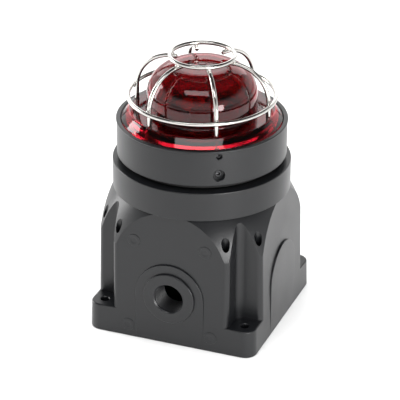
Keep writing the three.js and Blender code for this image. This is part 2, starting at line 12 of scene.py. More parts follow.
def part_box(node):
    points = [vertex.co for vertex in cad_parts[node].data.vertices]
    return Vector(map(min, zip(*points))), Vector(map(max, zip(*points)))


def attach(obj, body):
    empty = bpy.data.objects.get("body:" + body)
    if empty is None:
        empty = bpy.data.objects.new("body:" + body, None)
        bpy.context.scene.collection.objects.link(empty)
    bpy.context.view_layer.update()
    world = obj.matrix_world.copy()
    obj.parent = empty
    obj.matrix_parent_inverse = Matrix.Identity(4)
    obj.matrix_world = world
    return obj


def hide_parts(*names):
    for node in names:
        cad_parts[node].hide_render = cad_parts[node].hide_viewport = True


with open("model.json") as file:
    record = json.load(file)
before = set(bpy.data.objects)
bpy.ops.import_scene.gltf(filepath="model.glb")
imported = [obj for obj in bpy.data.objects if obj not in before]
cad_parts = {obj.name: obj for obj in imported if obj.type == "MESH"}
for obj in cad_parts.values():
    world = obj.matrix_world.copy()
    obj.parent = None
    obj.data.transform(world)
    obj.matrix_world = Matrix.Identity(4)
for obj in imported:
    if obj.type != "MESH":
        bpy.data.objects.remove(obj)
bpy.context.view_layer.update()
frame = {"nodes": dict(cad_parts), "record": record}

bl_info = {
    "name": "Strobe Beacon",
    "version": (1, 0, 0),
    "blender": (4, 5, 0),
    "location": "View3D > Sidebar > Beacon",
    "description": "Builds a flameproof strobe beacon piece by piece round its CAD frame",
    "category": "Add Mesh",
}

MM = 0.001
X, Y, Z = Vector((1, 0, 0)), Vector((0, 1, 0)), Vector((0, 0, 1))
TURN = 2 * math.pi
MERGE = 5e-6
COVER_PITCH = 2 * MM                       # of the thread between housing and cover
MARK_PLACES = ((-30, 85.5), (29, 85.7), (-35, 10.5), (34.5, 12))


# ------------------------------------------------------------------ places from the frame

def radius_of(node):
    """Half the width of a round node that stands on the Z axis."""
    low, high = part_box(node)
    return (high.x - low.x) / 2


def bottom_of(node):
    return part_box(node)[0].z


def top_of(node):
    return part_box(node)[1].z


def middle_of(node):
    low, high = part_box(node)
    return (low + high) / 2


# ------------------------------------------------------------------ sizes and colours

def length(name, text, default):
    return FloatProperty(name=name, description=text, default=default, min=0.0,
                         subtype="DISTANCE", unit="LENGTH", precision=5)


def angle(name, text, degrees):
    return FloatProperty(name=name, description=text, default=math.radians(degrees),
                         subtype="ANGLE", unit="ROTATION")


def count(name, text, default):
    return IntProperty(name=name, description=text, default=default, min=3)


def colour(name, text, default):
    return FloatVectorProperty(name=name, description=text, default=default, size=3,
                               min=0.0, max=1.0, subtype="COLOR")


class BeaconHousingSizes(bpy.types.PropertyGroup):
    """Sizes of the cast housing."""

    side: length("Side", "Side of the square base", 140 * MM)
    base_round: length("Base corners", "Radius of the base's corners", 10 * MM)
    foot_height: length("Foot height", "Height of the four feet", 23 * MM)
    parting: length("Parting", "Step at the line where two parts of the mould met",
                    0.05 * MM)
    foot_edge: length("Foot edge", "Rounding of the feet's upper edges", 1.2 * MM)
    draft: angle("Draft", "Lean of the cast sides", 1.2)
    pocket: length("Pocket", "Side of the square recess above a foot", 21.5 * MM)
    pocket_round: length("Pocket fillet", "Radius of the recess's inner corner", 6 * MM)
    panel_round: length("Panel edge", "Radius of the panels' upright edges", 4.5 * MM)
    arch_edge: length("Arch edge", "Rounding where a panel meets the shoulder", 1.1 * MM)
    arch_hidden: length("Arch hidden", "Top of an arch behind the collar", 1.3 * MM)
    collar_bottom: length("Collar bottom", "Height of the collar's lower edge", 111 * MM)
    collar_height: length("Collar height", "Height of the round collar", 23.4 * MM)
    collar_proud: length("Collar proud", "Collar beyond the flat sides", 0.3 * MM)
    collar_edge: length("Collar edge", "Rounding of the collar's edges", 1.0 * MM)
    spigot: length("Spigot", "Radius over the cover's thread", 58 * MM)
    cavity: length("Cavity", "Radius of the inside", 52 * MM)
    floor: length("Floor", "Thickness of the floor", 10 * MM)
    entry_height: length("Entry height", "Height of the entries' axis", 41 * MM)
    entry: length("Entry", "Radius of a cable entry", 11.7 * MM)
    entry_chamfer: length("Entry chamfer", "Chamfer of the entry's mouth", 0.9 * MM)
    thread_pitch: length("Thread pitch", "Pitch of the entry's thread", 1.5 * MM)
    thread_depth: length("Thread depth", "Depth of the entry's thread", 0.8 * MM)
    boss: length("Boss", "Radius of the boss that an entry opens in", 21.3 * MM)
    boss_proud: length("Boss proud", "Height of that boss above the pad", 2 * MM)
    boss_edge: length("Boss edge", "Rounding of the boss's edge", 1.1 * MM)
    pad: length("Pad", "Half the width of the arched pad", 28.5 * MM)
    pad_edge: length("Pad edge", "Rounding of the pad's edge", 0.5 * MM)
    screw_hole: length("Foot hole", "Radius of a mounting hole", 3.4 * MM)
    shoulder_hole: length("Shoulder hole", "Radius of a hole in the shoulder", 3.1 * MM)
    shoulder_hole_depth: length("Shoulder hole depth", "Depth of those holes", 13 * MM)
    hole_from_pocket: length("Hole from recess", "From a recess to such a hole", 4 * MM)
    hole_from_face: length("Hole from face", "From a flat side to such a hole", 6 * MM)
    shoulder_hole_lean: angle("Shoulder hole lean", "Lean of those holes from upright", 15)
    shoulder_hole_edge: length("Shoulder hole edge", "Chamfer of those holes", 0.6 * MM)
    earth_boss: length("Earth boss", "Radius of the boss for the earth screw", 8 * MM)
    earth_proud: length("Earth boss proud", "Height of that boss", 1.5 * MM)
    earth_edge: length("Earth boss edge", "Rounding of its edge", 0.8 * MM)
    earth_root: length("Earth boss root", "How far it starts inside the wall", 4 * MM)
    earth_bore: length("Earth bore", "Radius of the earth screw's hole", 3.2 * MM)
    earth_depth: length("Earth depth", "Depth of that hole from the side", 5.8 * MM)
    mark: length("Mark", "Radius of a moulding mark", 5.2 * MM)
    mark_height: length("Mark height", "Height of a moulding mark", 0.35 * MM)
    facets: count("Facets", "Facets round the large curves", 160)


class BeaconCoverSizes(bpy.types.PropertyGroup):
    """Sizes of the cover, its screws and its seals."""

    wall: length("Wall", "Thickness of the threaded wall", 8.4 * MM)
    rim: length("Rim", "Thickness of the rim round the lens", 3.4 * MM)
    rim_depth: length("Rim depth", "Depth from the rim to the lens seat", 2.6 * MM)
    lip: length("Lip", "How far the top lip stands out", 0.5 * MM)
    lip_height: length("Lip height", "Height of the top lip", 1.6 * MM)
    edge: length("Edge", "Rounding of the lower edge", 1.2 * MM)
    rim_edge: length("Rim edge", "Rounding of the rim's inner edge", 1.4 * MM)
    soft_edge: length("Soft edge", "Rounding of the other edges", 0.4 * MM)
    glass_bore: length("Glass bore", "Radius of the glass's recess", 50.6 * MM)
    glass_seat: length("Glass seat", "Depth from the rim to the glass seat", 11 * MM)
    opening: length("Opening", "Radius of the opening under the glass", 42 * MM)
    shelf: length("Shelf", "Depth from the rim to the shelf's underside", 15.4 * MM)
    socket: length("Guard socket", "Radius of the holes for the guard", 2 * MM)
    socket_depth: length("Guard socket depth", "Depth of those holes", 9 * MM)
    screw_hole: length("Set screw hole", "Radius of the set screws' holes", 2.15 * MM)
    screw_sink: length("Set screw sink", "Radius of the mouths of those holes", 2.9 * MM)
    screw_reach: length("Set screw reach", "Depth of those holes", 12.5 * MM)
    lock_hole: length("Lock hole", "Radius of the locking screw's hole", 3 * MM)
    lock_recess: length("Lock recess", "Radius of the locking screw's recess", 4.5 * MM)
    lock_recess_depth: length("Lock recess depth", "Depth of that recess", 3.8 * MM)
    facets: count("Facets", "Facets round the cover", 192)


class BeaconLensSizes(bpy.types.PropertyGroup):
    """Sizes of the red lens and the glass dome."""

    wall: length("Wall", "Thickness of the lens", 2.6 * MM)
    edge_height: length("Edge height", "Height of the flange's outer edge", 1.4 * MM)
    deck_height: length("Deck height", "Height of the flange above the rim", 6.8 * MM)
    slope: length("Slope", "Width of the flange's sloping part", 6.4 * MM)
    deck: length("Deck", "Width of the flange's flat part", 13.6 * MM)
    crown: length("Crown", "Radius of the lens's crown", 24.5 * MM)
    nub: length("Nub", "Radius of the mark at the top", 3 * MM)
    nub_height: length("Nub height", "Height of the mark at the top", 0.8 * MM)
    glass_wall: length("Glass wall", "Thickness of the glass dome", 4 * MM)
    facets: count("Facets", "Facets round the lens", 128)


class BeaconGuardSizes(bpy.types.PropertyGroup):
    """Sizes of the wire guard."""

    wire: length("Wire", "Diameter of the wire", 3.4 * MM)
    stub: length("Stub", "Reach of a leg inside the top ring", 4.5 * MM)
    weld: length("Weld", "Size of a weld bead", 2.2 * MM)
    facets: count("Facets", "Facets round the wire", 20)
    steps: count("Steps", "Facets round the rings", 160)


class BeaconFinishes(bpy.types.PropertyGroup):
    """Colours of the finishes."""

    casting: colour("Casting", "Black coat of the castings", (0.0048, 0.0052, 0.0062))
    lens: colour("Lens", "Red of the lens", (0.3, 0.004, 0.012))
    glass: colour("Glass", "Clear glass", (0.93, 0.97, 0.96))
    steel: colour("Steel", "Polished stainless steel", (0.72, 0.7, 0.67))
    oxide: colour("Oxide", "Blackened screws", (0.06, 0.06, 0.062))
    rubber: colour("Rubber", "Black rubber", (0.012, 0.012, 0.012))
    board: colour("Board", "Solder mask of the boards", (0.01, 0.1, 0.03))
    ceramic: colour("Ceramic", "White ceramic", (0.7, 0.67, 0.6))
    sleeve: colour("Sleeve", "Sleeve of the capacitors", (0.01, 0.03, 0.09))
    copper: colour("Copper", "Varnished windings", (0.42, 0.16, 0.06))
    mirror: colour("Mirror", "Mirror of the reflector", (0.4, 0.4, 0.41))
    brass: colour("Brass", "Plain brass", (0.62, 0.44, 0.18))
    floor: colour("Floor", "Pale floor", (0.9, 0.9, 0.9))


class BeaconStageSettings(bpy.types.PropertyGroup):
    """The camera, the floor and the light."""

    around: angle("Around", "Camera's place round the beacon", 21.02)
    turn: angle("Turn", "Direction that the camera looks in", 21.07)
    look_down: angle("Look down", "Camera's tilt below the horizon", 26.61)
    roll: angle("Roll", "Camera's roll", 0.26)
    stand: angle("Stand", "Height of the camera seen from the beacon", 26.07)
    distance: length("Distance", "Camera's distance", 1.6927)
    aim: length("Aim", "Height that the distance is measured from", 0.112)
    lens: FloatProperty(name="Lens", description="Focal length in millimetres",
                        default=192.2)
    floor_size: length("Floor size", "Side of the floor", 12.0)
    walls: FloatProperty(name="Walls", description="Strength of the walls", default=1.0)
    ceiling: FloatProperty(name="Ceiling", description="Strength of the ceiling",
                           default=0.05)
    top: FloatProperty(name="Top light", description="Power of the top light", default=90)
    right: FloatProperty(name="Right light", description="Power of the right light",
                         default=10)
    left: FloatProperty(name="Left light", description="Power of the left light",
                        default=10)
    back: FloatProperty(name="Back light", description="Power of the back light",
                        default=6)
    front: FloatProperty(name="Front light", description="Power of the front light",
                         default=6)


def sizes(name):
    return getattr(bpy.context.scene, name)


# ------------------------------------------------------------------ modelling by hand

def deselect():
    if bpy.context.object and bpy.context.object.mode != "OBJECT":
        bpy.ops.object.mode_set(mode="OBJECT")
    bpy.ops.object.select_all(action="DESELECT")


def activate(piece):
    deselect()
    piece.select_set(True)
    bpy.context.view_layer.objects.active = piece
    return piece


def edit(piece, kind="VERT"):
    """Opens a piece in edit mode with nothing selected."""
    activate(piece)
    bpy.ops.object.mode_set(mode="EDIT")
    bpy.ops.mesh.select_mode(type=kind)
    bpy.ops.mesh.select_all(action="DESELECT")


def pick(piece, kind, test):
    """Selects the vertices, edges or faces of the open piece that pass a test."""
    mesh = bmesh.from_edit_mesh(piece.data)
    for item in getattr(mesh, kind):
        if test(item):
            item.select_set(True)
    mesh.select_flush_mode()
    bmesh.update_edit_mesh(piece.data)


def close_edit():
    bpy.ops.object.mode_set(mode="OBJECT")


def settle(piece):
    """Puts a piece's place into its mesh, so that its object sits at the origin."""
    activate(piece)
    bpy.ops.object.transform_apply(location=True, rotation=True, scale=True)
    return piece


def named(name):
    piece = bpy.context.object
    piece.name = name
    piece.data.name = name
    return piece


def modify(piece, kind, **settings):
    """Adds a modifier, sets it and applies it."""
    activate(piece)
    bpy.ops.object.modifier_add(type=kind)
    modifier = piece.modifiers[-1]
    for key, value in settings.items():
        setattr(modifier, key, value)
    bpy.ops.object.modifier_apply(modifier=modifier.name)
    return piece


def combine(piece, other, operation):
    """Joins, cuts or trims a piece with another, which is used up."""
    modify(piece, "BOOLEAN", operation=operation, object=other, solver="EXACT")
    bpy.data.objects.remove(other)
    edit(piece)
    bpy.ops.mesh.select_all(action="SELECT")
    bpy.ops.mesh.remove_doubles(threshold=MERGE)
    close_edit()
    return piece


def cut(piece, cutter):
    return combine(piece, cutter, "DIFFERENCE")


def bevel(piece, width, segments=3, limit=30):
    return modify(piece, "BEVEL", width=width, segments=segments, limit_method="ANGLE",
                  angle_limit=math.radians(limit), use_clamp_overlap=True,
                  harden_normals=False)


def smooth(piece, degrees=32, weighted=False):
    activate(piece)
    bpy.ops.object.shade_smooth_by_angle(angle=math.radians(degrees))
    if weighted:
        modify(piece, "WEIGHTED_NORMAL", keep_sharp=True, weight=80)
    return piece


def tidy_normals(piece):
    edit(piece)
    bpy.ops.mesh.select_all(action="SELECT")
    bpy.ops.mesh.remove_doubles(threshold=MERGE)
    bpy.ops.mesh.normals_make_consistent(inside=False)
    close_edit()
    return piece


def arc(centre, radius, start, end, steps):
    """Points on an arc, as (radius, height) pairs; the angles are in degrees."""
    turns = (math.radians(start + (end - start) * i / steps) for i in range(steps + 1))
    return [(centre[0] + radius * math.cos(t), centre[1] + radius * math.sin(t))
            for t in turns]


def rounded(corners, closed=False, steps=5):
    """A profile with its corners rounded. A corner is (radius, height, rounding)."""
    points = []
    last = len(corners) - 1
    for i, corner in enumerate(corners):
        here = Vector(corner[:2])
        size = corner[2] if len(corner) > 2 else 0.0
        if size == 0.0 or (not closed and i in (0, last)):
            points.append(tuple(here))
            continue
        before = Vector(corners[i - 1][:2]) - here
        after = Vector(corners[(i + 1) % len(corners)][:2]) - here
        half = before.angle(after) / 2
        reach = size / math.tan(half)
        start = here + before.normalized() * reach
        end = here + after.normalized() * reach
        for k in range(steps + 1):
            t = k / steps
            bow = here * (2 * t * (1 - t)) + start * (1 - t) ** 2 + end * t ** 2
            points.append(tuple(bow))
    return points


def turned(name, profile, facets, closed=False):
    """Extrudes one vertex along a profile of (radius, height) and spins it round Z."""
    deselect()
    bpy.ops.mesh.primitive_plane_add(size=MM)
    piece = named(name)
    edit(piece)
    bpy.ops.mesh.select_all(action="SELECT")
    bpy.ops.mesh.merge(type="CENTER")
    bpy.ops.transform.translate(value=(profile[0][0], 0, profile[0][1]))
    for (r0, z0), (r1, z1) in zip(profile, profile[1:]):
        bpy.ops.mesh.extrude_region_move(
            TRANSFORM_OT_translate={"value": (r1 - r0, 0, z1 - z0)})
    if closed:
        first, final = (Vector((p[0], 0, p[1])) for p in (profile[0], profile[-1]))
        bpy.ops.mesh.select_all(action="DESELECT")
        pick(piece, "verts", lambda v: min((v.co - first).length,
                                           (v.co - final).length) < MERGE)
        bpy.ops.mesh.edge_face_add()
    bpy.ops.mesh.select_all(action="SELECT")
    bpy.ops.mesh.spin(steps=facets, angle=TURN, center=(0, 0, 0), axis=(0, 0, 1))
    close_edit()
    return tidy_normals(piece)


def rod(name, radius, bottom, top, facets=32):
    """A plain round cutter or start, from one height to another on the Z axis."""
    deselect()
    bpy.ops.mesh.primitive_cylinder_add(vertices=facets, radius=radius,
                                        depth=top - bottom,
                                        location=(0, 0, (top + bottom) / 2))
    return settle(named(name))


def box(name, low, high):
    """A block between two corners."""
    low, high = Vector(low), Vector(high)
    deselect()
    bpy.ops.mesh.primitive_cube_add(size=1, location=(low + high) / 2)
    piece = named(name)
    piece.scale = high - low
    return settle(piece)


def placed(piece, tilt=None, turn=0.0, at=(0, 0, 0)):
    """Tilts a piece round an axis, turns it round Z and moves it."""
    lean = Matrix.Rotation(tilt[0], 4, tilt[1]) if tilt else Matrix.Identity(4)
    piece.matrix_world = Matrix.Translation(at) @ Matrix.Rotation(turn, 4, "Z") @ lean
    bpy.context.view_layer.update()
    return settle(piece)


def facing(piece, turn, height):
    """Points a piece that was made along +Z outwards at a plan angle and a height."""
    return placed(piece, (math.pi / 2, "Y"), turn, (0, 0, height))


def copy_of(piece, name):
    activate(piece)
    bpy.ops.object.duplicate(linked=False)
    return named(name)


def hexagon_cutter(name, across, bottom, top):
    radius = across / math.sqrt(3)
    return rod(name, radius, bottom, top, 6)


def made(piece, body, slot, *nodes):
    """Fixes a finished piece to its body and hides the CAD nodes that it stands for."""
    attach(piece, body)
    if nodes:
        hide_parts(*nodes)
    return piece


# ------------------------------------------------------------------ finishes

def new_finish(name):
    material = bpy.data.materials.new(name)
    material.use_nodes = True
    nodes = material.node_tree.nodes
    return material, nodes, material.node_tree.links, nodes["Principled BSDF"]


def noise(nodes, links, scale, detail=4.0, roughness=0.55):
    place = nodes.new("ShaderNodeTexCoord")
    texture = nodes.new("ShaderNodeTexNoise")
    texture.inputs["Scale"].default_value = scale
    texture.inputs["Detail"].default_value = detail
    texture.inputs["Roughness"].default_value = roughness
    links.new(place.outputs["Object"], texture.inputs["Vector"])
    return texture


def spread(nodes, links, source, low, high, start=0.3, end=0.7):
    """Maps a 0 to 1 pattern between two values."""
    ranged = nodes.new("ShaderNodeMapRange")
    ranged.inputs["From Min"].default_value = start
    ranged.inputs["From Max"].default_value = end
    ranged.inputs["To Min"].default_value = low
    ranged.inputs["To Max"].default_value = high
    links.new(source, ranged.inputs["Value"])
    return ranged.outputs["Result"]


def two_tone(nodes, links, factor, dark, light):
    mix = nodes.new("ShaderNodeMix")
    mix.data_type = "RGBA"
    mix.inputs["A"].default_value = (*dark, 1)
    mix.inputs["B"].default_value = (*light, 1)
    links.new(factor, mix.inputs["Factor"])
    return mix.outputs["Result"]


def bumps(nodes, links, height, strength, distance, before=None):
    bump = nodes.new("ShaderNodeBump")
    bump.inputs["Strength"].default_value = strength
    bump.inputs["Distance"].default_value = distance
    links.new(height, bump.inputs["Height"])
    if before:
        links.new(before, bump.inputs["Normal"])
    return bump.outputs["Normal"]


def shade_of(tint, factor):
    return tuple(min(1.0, c * factor) for c in tint)


def worn_finish(name, tint, roughness, metallic, grain, relief, vary=0.25):
    """A finish with cloudy colour, uneven gloss and a fine grain."""
    material, nodes, links, shader = new_finish(name)
    clouds = noise(nodes, links, 18.0)
    fine = noise(nodes, links, grain, 2.0)
    base = two_tone(nodes, links, clouds.outputs["Fac"], shade_of(tint, 1 - vary),
                    shade_of(tint, 1 + vary))
    links.new(base, shader.inputs["Base Color"])
    gloss = spread(nodes, links, clouds.outputs["Fac"], roughness * 0.85,
                   roughness * 1.2)
    links.new(gloss, shader.inputs["Roughness"])
    links.new(bumps(nodes, links, fine.outputs["Fac"], 0.35, relief),
              shader.inputs["Normal"])
    shader.inputs["Metallic"].default_value = metallic
    return material


def casting_finish():
    """Satin black coat: faint orange peel, fine grain and paler convex edges, which are a
    painted highlight.
    """
    tint = sizes("beacon_finishes").casting
    material, nodes, links, shader = new_finish("satin_black_coat")
    peel = noise(nodes, links, 420.0, 2.0)
    grain = noise(nodes, links, 2600.0, 2.0)
    clouds = noise(nodes, links, 14.0)
    base = two_tone(nodes, links, clouds.outputs["Fac"], shade_of(tint, 0.8),
                    shade_of(tint, 1.25))
    geometry = nodes.new("ShaderNodeNewGeometry")
    # Painted highlight: convex edges, found by pointiness, get a base colour 4.5 times paler
    # than the coat.
    edges = spread(nodes, links, geometry.outputs["Pointiness"], 0.0, 0.35, 0.53, 0.62)
    painted_edge_highlight = nodes.new("ShaderNodeMix")
    painted_edge_highlight.data_type = "RGBA"
    painted_edge_highlight.inputs["B"].default_value = (*shade_of(tint, 4.5), 1)
    links.new(base, painted_edge_highlight.inputs["A"])
    links.new(edges, painted_edge_highlight.inputs["Factor"])
    links.new(painted_edge_highlight.outputs["Result"], shader.inputs["Base Color"])
    gloss = spread(nodes, links, clouds.outputs["Fac"], 0.3, 0.4)
    links.new(gloss, shader.inputs["Roughness"])
    first = bumps(nodes, links, peel.outputs["Fac"], 0.12, 0.1 * MM)
    links.new(bumps(nodes, links, grain.outputs["Fac"], 0.1, 0.03 * MM, first),
              shader.inputs["Normal"])
    shader.inputs["IOR"].default_value = 1.5
    return material


def lens_finish():
    """Clear red plastic with a fine moulded cell pattern inside."""
    tint = sizes("beacon_finishes").lens
    material, nodes, links, shader = new_finish("clear_red_lens")
    place = nodes.new("ShaderNodeTexCoord")
    cells = nodes.new("ShaderNodeTexVoronoi")
    cells.inputs["Scale"].default_value = 330.0
    cells.inputs["Randomness"].default_value = 0.25
    links.new(place.outputs["Object"], cells.inputs["Vector"])
    ripple = noise(nodes, links, 60.0, 2.0)
    tone = two_tone(nodes, links, ripple.outputs["Fac"], shade_of(tint, 0.9),
                    shade_of(tint, 1.1))
    links.new(tone, shader.inputs["Base Color"])
    links.new(bumps(nodes, links, cells.outputs["Distance"], 0.15, 0.25 * MM),
              shader.inputs["Normal"])
    shader.inputs["Transmission Weight"].default_value = 1.0
    shader.inputs["Roughness"].default_value = 0.04
    shader.inputs["IOR"].default_value = 1.5
    return material


def glass_finish():
    tint = sizes("beacon_finishes").glass
    material, nodes, links, shader = new_finish("clear_glass")
    streaks = noise(nodes, links, 30.0, 3.0)
    tone = two_tone(nodes, links, streaks.outputs["Fac"], shade_of(tint, 0.97), tint)
    links.new(tone, shader.inputs["Base Color"])
    gloss = spread(nodes, links, streaks.outputs["Fac"], 0.01, 0.04)
    links.new(gloss, shader.inputs["Roughness"])
    shader.inputs["Transmission Weight"].default_value = 1.0
    shader.inputs["IOR"].default_value = 1.47
    return material


def steel_finish():
    """Polished stainless wire: bright, with faint drawing marks."""
    tint = sizes("beacon_finishes").steel
    material, nodes, links, shader = new_finish("polished_stainless")
    clouds = noise(nodes, links, 90.0)
    scratch = noise(nodes, links, 1500.0, 2.0)
    tone = two_tone(nodes, links, clouds.outputs["Fac"], shade_of(tint, 0.88), tint)
    links.new(tone, shader.inputs["Base Color"])
    gloss = spread(nodes, links, clouds.outputs["Fac"], 0.14, 0.24)
    links.new(gloss, shader.inputs["Roughness"])
    links.new(bumps(nodes, links, scratch.outputs["Fac"], 0.08, 0.02 * MM),
              shader.inputs["Normal"])
    shader.inputs["Metallic"].default_value = 1.0
    return material


FINISH_MAKERS = {
    "casting": casting_finish,
    "lens": lens_finish,
    "glass": glass_finish,
    "stainless": steel_finish,
    "oxide": lambda: worn_finish("oxide_screw", sizes("beacon_finishes").oxide,
                                 0.35, 0.9, 1400.0, 0.03 * MM),
    "rubber": lambda: worn_finish("black_rubber", sizes("beacon_finishes").rubber,
                                  0.7, 0.0, 1800.0, 0.06 * MM),
    "board": lambda: worn_finish("solder_mask", sizes("beacon_finishes").board,
                                 0.35, 0.0, 900.0, 0.02 * MM),
    "ceramic": lambda: worn_finish("white_ceramic", sizes("beacon_finishes").ceramic,
                                   0.5, 0.0, 1200.0, 0.04 * MM, 0.08),
    "sleeve": lambda: worn_finish("capacitor_sleeve", sizes("beacon_finishes").sleeve,
                                  0.3, 0.0, 500.0, 0.04 * MM),
    "copper": lambda: worn_finish("varnished_copper", sizes("beacon_finishes").copper,
                                  0.35, 0.85, 1500.0, 0.05 * MM),
    "reflector": lambda: worn_finish("mirror", sizes("beacon_finishes").mirror,
                                     0.08, 1.0, 300.0, 0.01 * MM, 0.04),
    "brass": lambda: worn_finish("plain_brass", sizes("beacon_finishes").brass,
                                 0.3, 1.0, 1300.0, 0.03 * MM, 0.12),
}
finishes = {}


def finish_for(slot):
    if slot not in finishes:
        finishes[slot] = FINISH_MAKERS[slot]()
    return finishes[slot]


def paint(piece, slot):
    piece.data.materials.clear()
    piece.data.materials.append(finish_for(slot))
    return piece


# ------------------------------------------------------------------ housing

QUARTERS = [i * math.pi / 2 for i in range(4)]


def pocket_cutter(size, turn):
    """The recess over one foot: a square post with its inner upright edge rounded."""
    inner = size.side / 2 - size.pocket
    outer = size.side
    top = size.collar_bottom + size.foot_height
    piece = box("pocket", (inner, inner, -size.foot_height), (outer, outer, top))
    edit(piece, "EDGE")
    pick(piece, "edges", lambda e: all(abs(v.co.x - inner) + abs(v.co.y - inner) < MERGE
                                       for v in e.verts))
    bpy.ops.mesh.bevel(offset=size.pocket_round, segments=8)
    close_edit()
    return placed(piece, turn=turn)


def leaned(piece, size):
    """Draws the sides of a piece in towards the axis as they rise."""
    high = max(v.co.z for v in piece.data.vertices)
    scale = 1 - high * math.tan(size.draft) / (size.side / 2)
    edit(piece)
    pick(piece, "verts", lambda v: v.co.z > high - MERGE)
    bpy.ops.transform.resize(value=(scale, scale, 1), center_override=(0, 0, 0))
    close_edit()
    return piece


def shoulder_centre(size):
    """Height of the shoulder's centre: each panel ends in a half circle at its top."""
    return size.collar_bottom + size.arch_hidden - (size.side / 2 - size.pocket)


def shoulder_radius(size):
    flat = size.side / 2 - size.collar_bottom * math.tan(size.draft)
    return math.hypot(flat, size.side / 2 - size.pocket)


def shoulder_height(size, distance):
    rise = math.sqrt(shoulder_radius(size) ** 2 - distance ** 2)
    return shoulder_centre(size) + rise


def panels(size):
    """The four tall panels, which the ball-shaped shoulder trims to round arches."""
    half = size.side / 2 - size.parting
    top = size.collar_bottom + 4 * MM
    piece = leaned(box("panels", (-half, -half, 0), (half, half, top)), size)
    cut(piece, box("foot", (-size.side, -size.side, -size.side),
                   (size.side, size.side, size.foot_height / 2)))
    for turn in QUARTERS:
        cut(piece, pocket_cutter(size, turn))
    inner = half - size.pocket
    lean = math.tan(size.draft)

    def panel_edge(edge):
        a, b = (v.co for v in edge.verts)
        if abs((a - b).normalized().z) < 0.9:
            return False
        return all(abs(max(abs(v.x), abs(v.y)) - half + v.z * lean) < 0.2 * MM
                   and abs(min(abs(v.x), abs(v.y)) - inner) < 0.2 * MM for v in (a, b))

    edit(piece, "EDGE")
    pick(piece, "edges", panel_edge)
    bpy.ops.mesh.bevel(offset=size.panel_round, segments=8)
    close_edit()
    centre, radius = shoulder_centre(size), shoulder_radius(size)
    rise = math.degrees(math.asin((top - centre) / radius))
    ball = turned("shoulder", [(0, -MM), (radius, -MM)]
                  + arc((0, centre), radius, 0, rise, 20) + [(0, top)], size.facets)
    return combine(piece, ball, "INTERSECT")


def base_slab(size):
    half = size.side / 2
    piece = box("slab", (-half, -half, 0), (half, half, size.foot_height))
    edit(piece, "EDGE")
    pick(piece, "edges", lambda e: abs(e.verts[0].co.z - e.verts[1].co.z) > MM)
    bpy.ops.mesh.bevel(offset=size.base_round, segments=10)
    close_edit()
    leaned(piece, size)
    return bevel(piece, size.foot_edge, 3, 50)


def arched_pad(size, turn):
    """An upright pad with a round top; its face stays plumb while the panel leans."""
    half = size.side / 2
    deselect()
    bpy.ops.mesh.primitive_circle_add(vertices=96, radius=size.pad, fill_type="NOTHING")
    piece = placed(named("pad"), (math.pi / 2, "X"), 0.0,
                   (0, -half - size.parting, size.entry_height))
    edit(piece)
    pick(piece, "verts", lambda v: v.co.z < size.entry_height - MERGE)
    bpy.ops.mesh.delete(type="VERT")
    pick(piece, "verts", lambda v: abs(v.co.z - size.entry_height) < MERGE)
    bpy.ops.mesh.extrude_region_move(
        TRANSFORM_OT_translate={"value": (0, 0, 2 * size.foot_edge - size.entry_height)})
    bpy.ops.mesh.select_all(action="SELECT")
    bpy.ops.mesh.edge_face_add()
    bpy.ops.mesh.extrude_region_move(TRANSFORM_OT_translate={"value": (0, 15 * MM, 0)})
    bpy.ops.mesh.select_all(action="SELECT")
    bpy.ops.mesh.normals_make_consistent(inside=False)
    bpy.ops.mesh.select_all(action="DESELECT")
    pick(piece, "edges", lambda e: all(v.co.y < -half and v.co.z > 5 * MM for v in e.verts)
         or all(v.co.y < -half for v in e.verts)
         and abs(e.verts[0].co.x - e.verts[1].co.x) < MERGE)
    bpy.ops.mesh.bevel(offset=size.pad_edge, segments=3)
    close_edit()
    return placed(piece, turn=turn)


def entry_boss(size, turn):
    """The round boss that stands out of a pad round an entry."""
    face = size.side / 2 + size.boss_proud
    piece = turned("boss", rounded([(0, size.cavity, 0), (size.boss, size.cavity, 0),
                                    (size.boss, face, size.boss_edge), (0, face, 0)]), 128)
    return placed(piece, (math.pi / 2, "X"), turn, (0, 0, size.entry_height))


def entry_cutter(size, turn):
    """Cuts a threaded hole with a chamfered mouth."""
    face = size.side / 2 + size.boss_proud
    hole, pitch = size.entry, size.thread_pitch
    start = size.cavity - 2 * pitch
    profile = [(0, size.cavity / 2), (hole, size.cavity / 2)]
    turns = int((face - size.entry_chamfer - start) / pitch)
    for i in range(turns):
        at = start + i * pitch
        profile += [(hole, at + 0.15 * pitch),
                    (hole + size.thread_depth, at + 0.5 * pitch),
                    (hole + size.thread_depth, at + 0.6 * pitch),
                    (hole, at + 0.95 * pitch)]
    profile += [(hole, face - size.entry_chamfer),
                (hole + size.entry_chamfer, face),
                (hole + size.entry_chamfer, face + 3 * MM), (0, face + 3 * MM)]
    piece = turned("entry", profile, 96)
    return placed(piece, (math.pi / 2, "X"), turn, (0, 0, size.entry_height))


def shoulder_hole(size, x, y):
    """Cuts one blind hole, drilled from outside the shoulder and leaning outwards."""
    out = math.hypot(x, y)
    radius, deep = size.shoulder_hole, size.shoulder_hole_depth
    wide = radius + size.shoulder_hole_edge
    piece = turned("hole", [(0, -deep), (radius, -deep), (radius, -0.3 * radius),
                            (wide, 0.6 * radius), (wide, deep), (0, deep)], 40)
    place = Vector((out, 0, shoulder_height(size, out)))
    placed(piece, (size.shoulder_hole_lean, "Y"), 0.0, place)
    return placed(piece, turn=math.atan2(y, x))


def corner_holes(piece, size):
    """Drills a mounting hole in each foot and two blind holes in each shoulder."""
    half = size.side / 2
    foot = half - size.pocket / 2
    near = half - size.pocket - size.hole_from_pocket
    far = half - size.hole_from_face
    for sx in (-1, 1):
        for sy in (-1, 1):
            hole = turned("hole", [(0, -MM), (size.screw_hole, -MM),
                                   (size.screw_hole, size.foot_height - 0.5 * MM),
                                   (size.screw_hole + MM, size.foot_height + 0.5 * MM),
                                   (0, size.foot_height + 0.5 * MM)], 40)
            cut(piece, placed(hole, at=(sx * foot, sy * foot, 0)))
            cut(piece, shoulder_hole(size, sx * near, sy * far))
            cut(piece, shoulder_hole(size, sx * far, sy * near))
    return piece


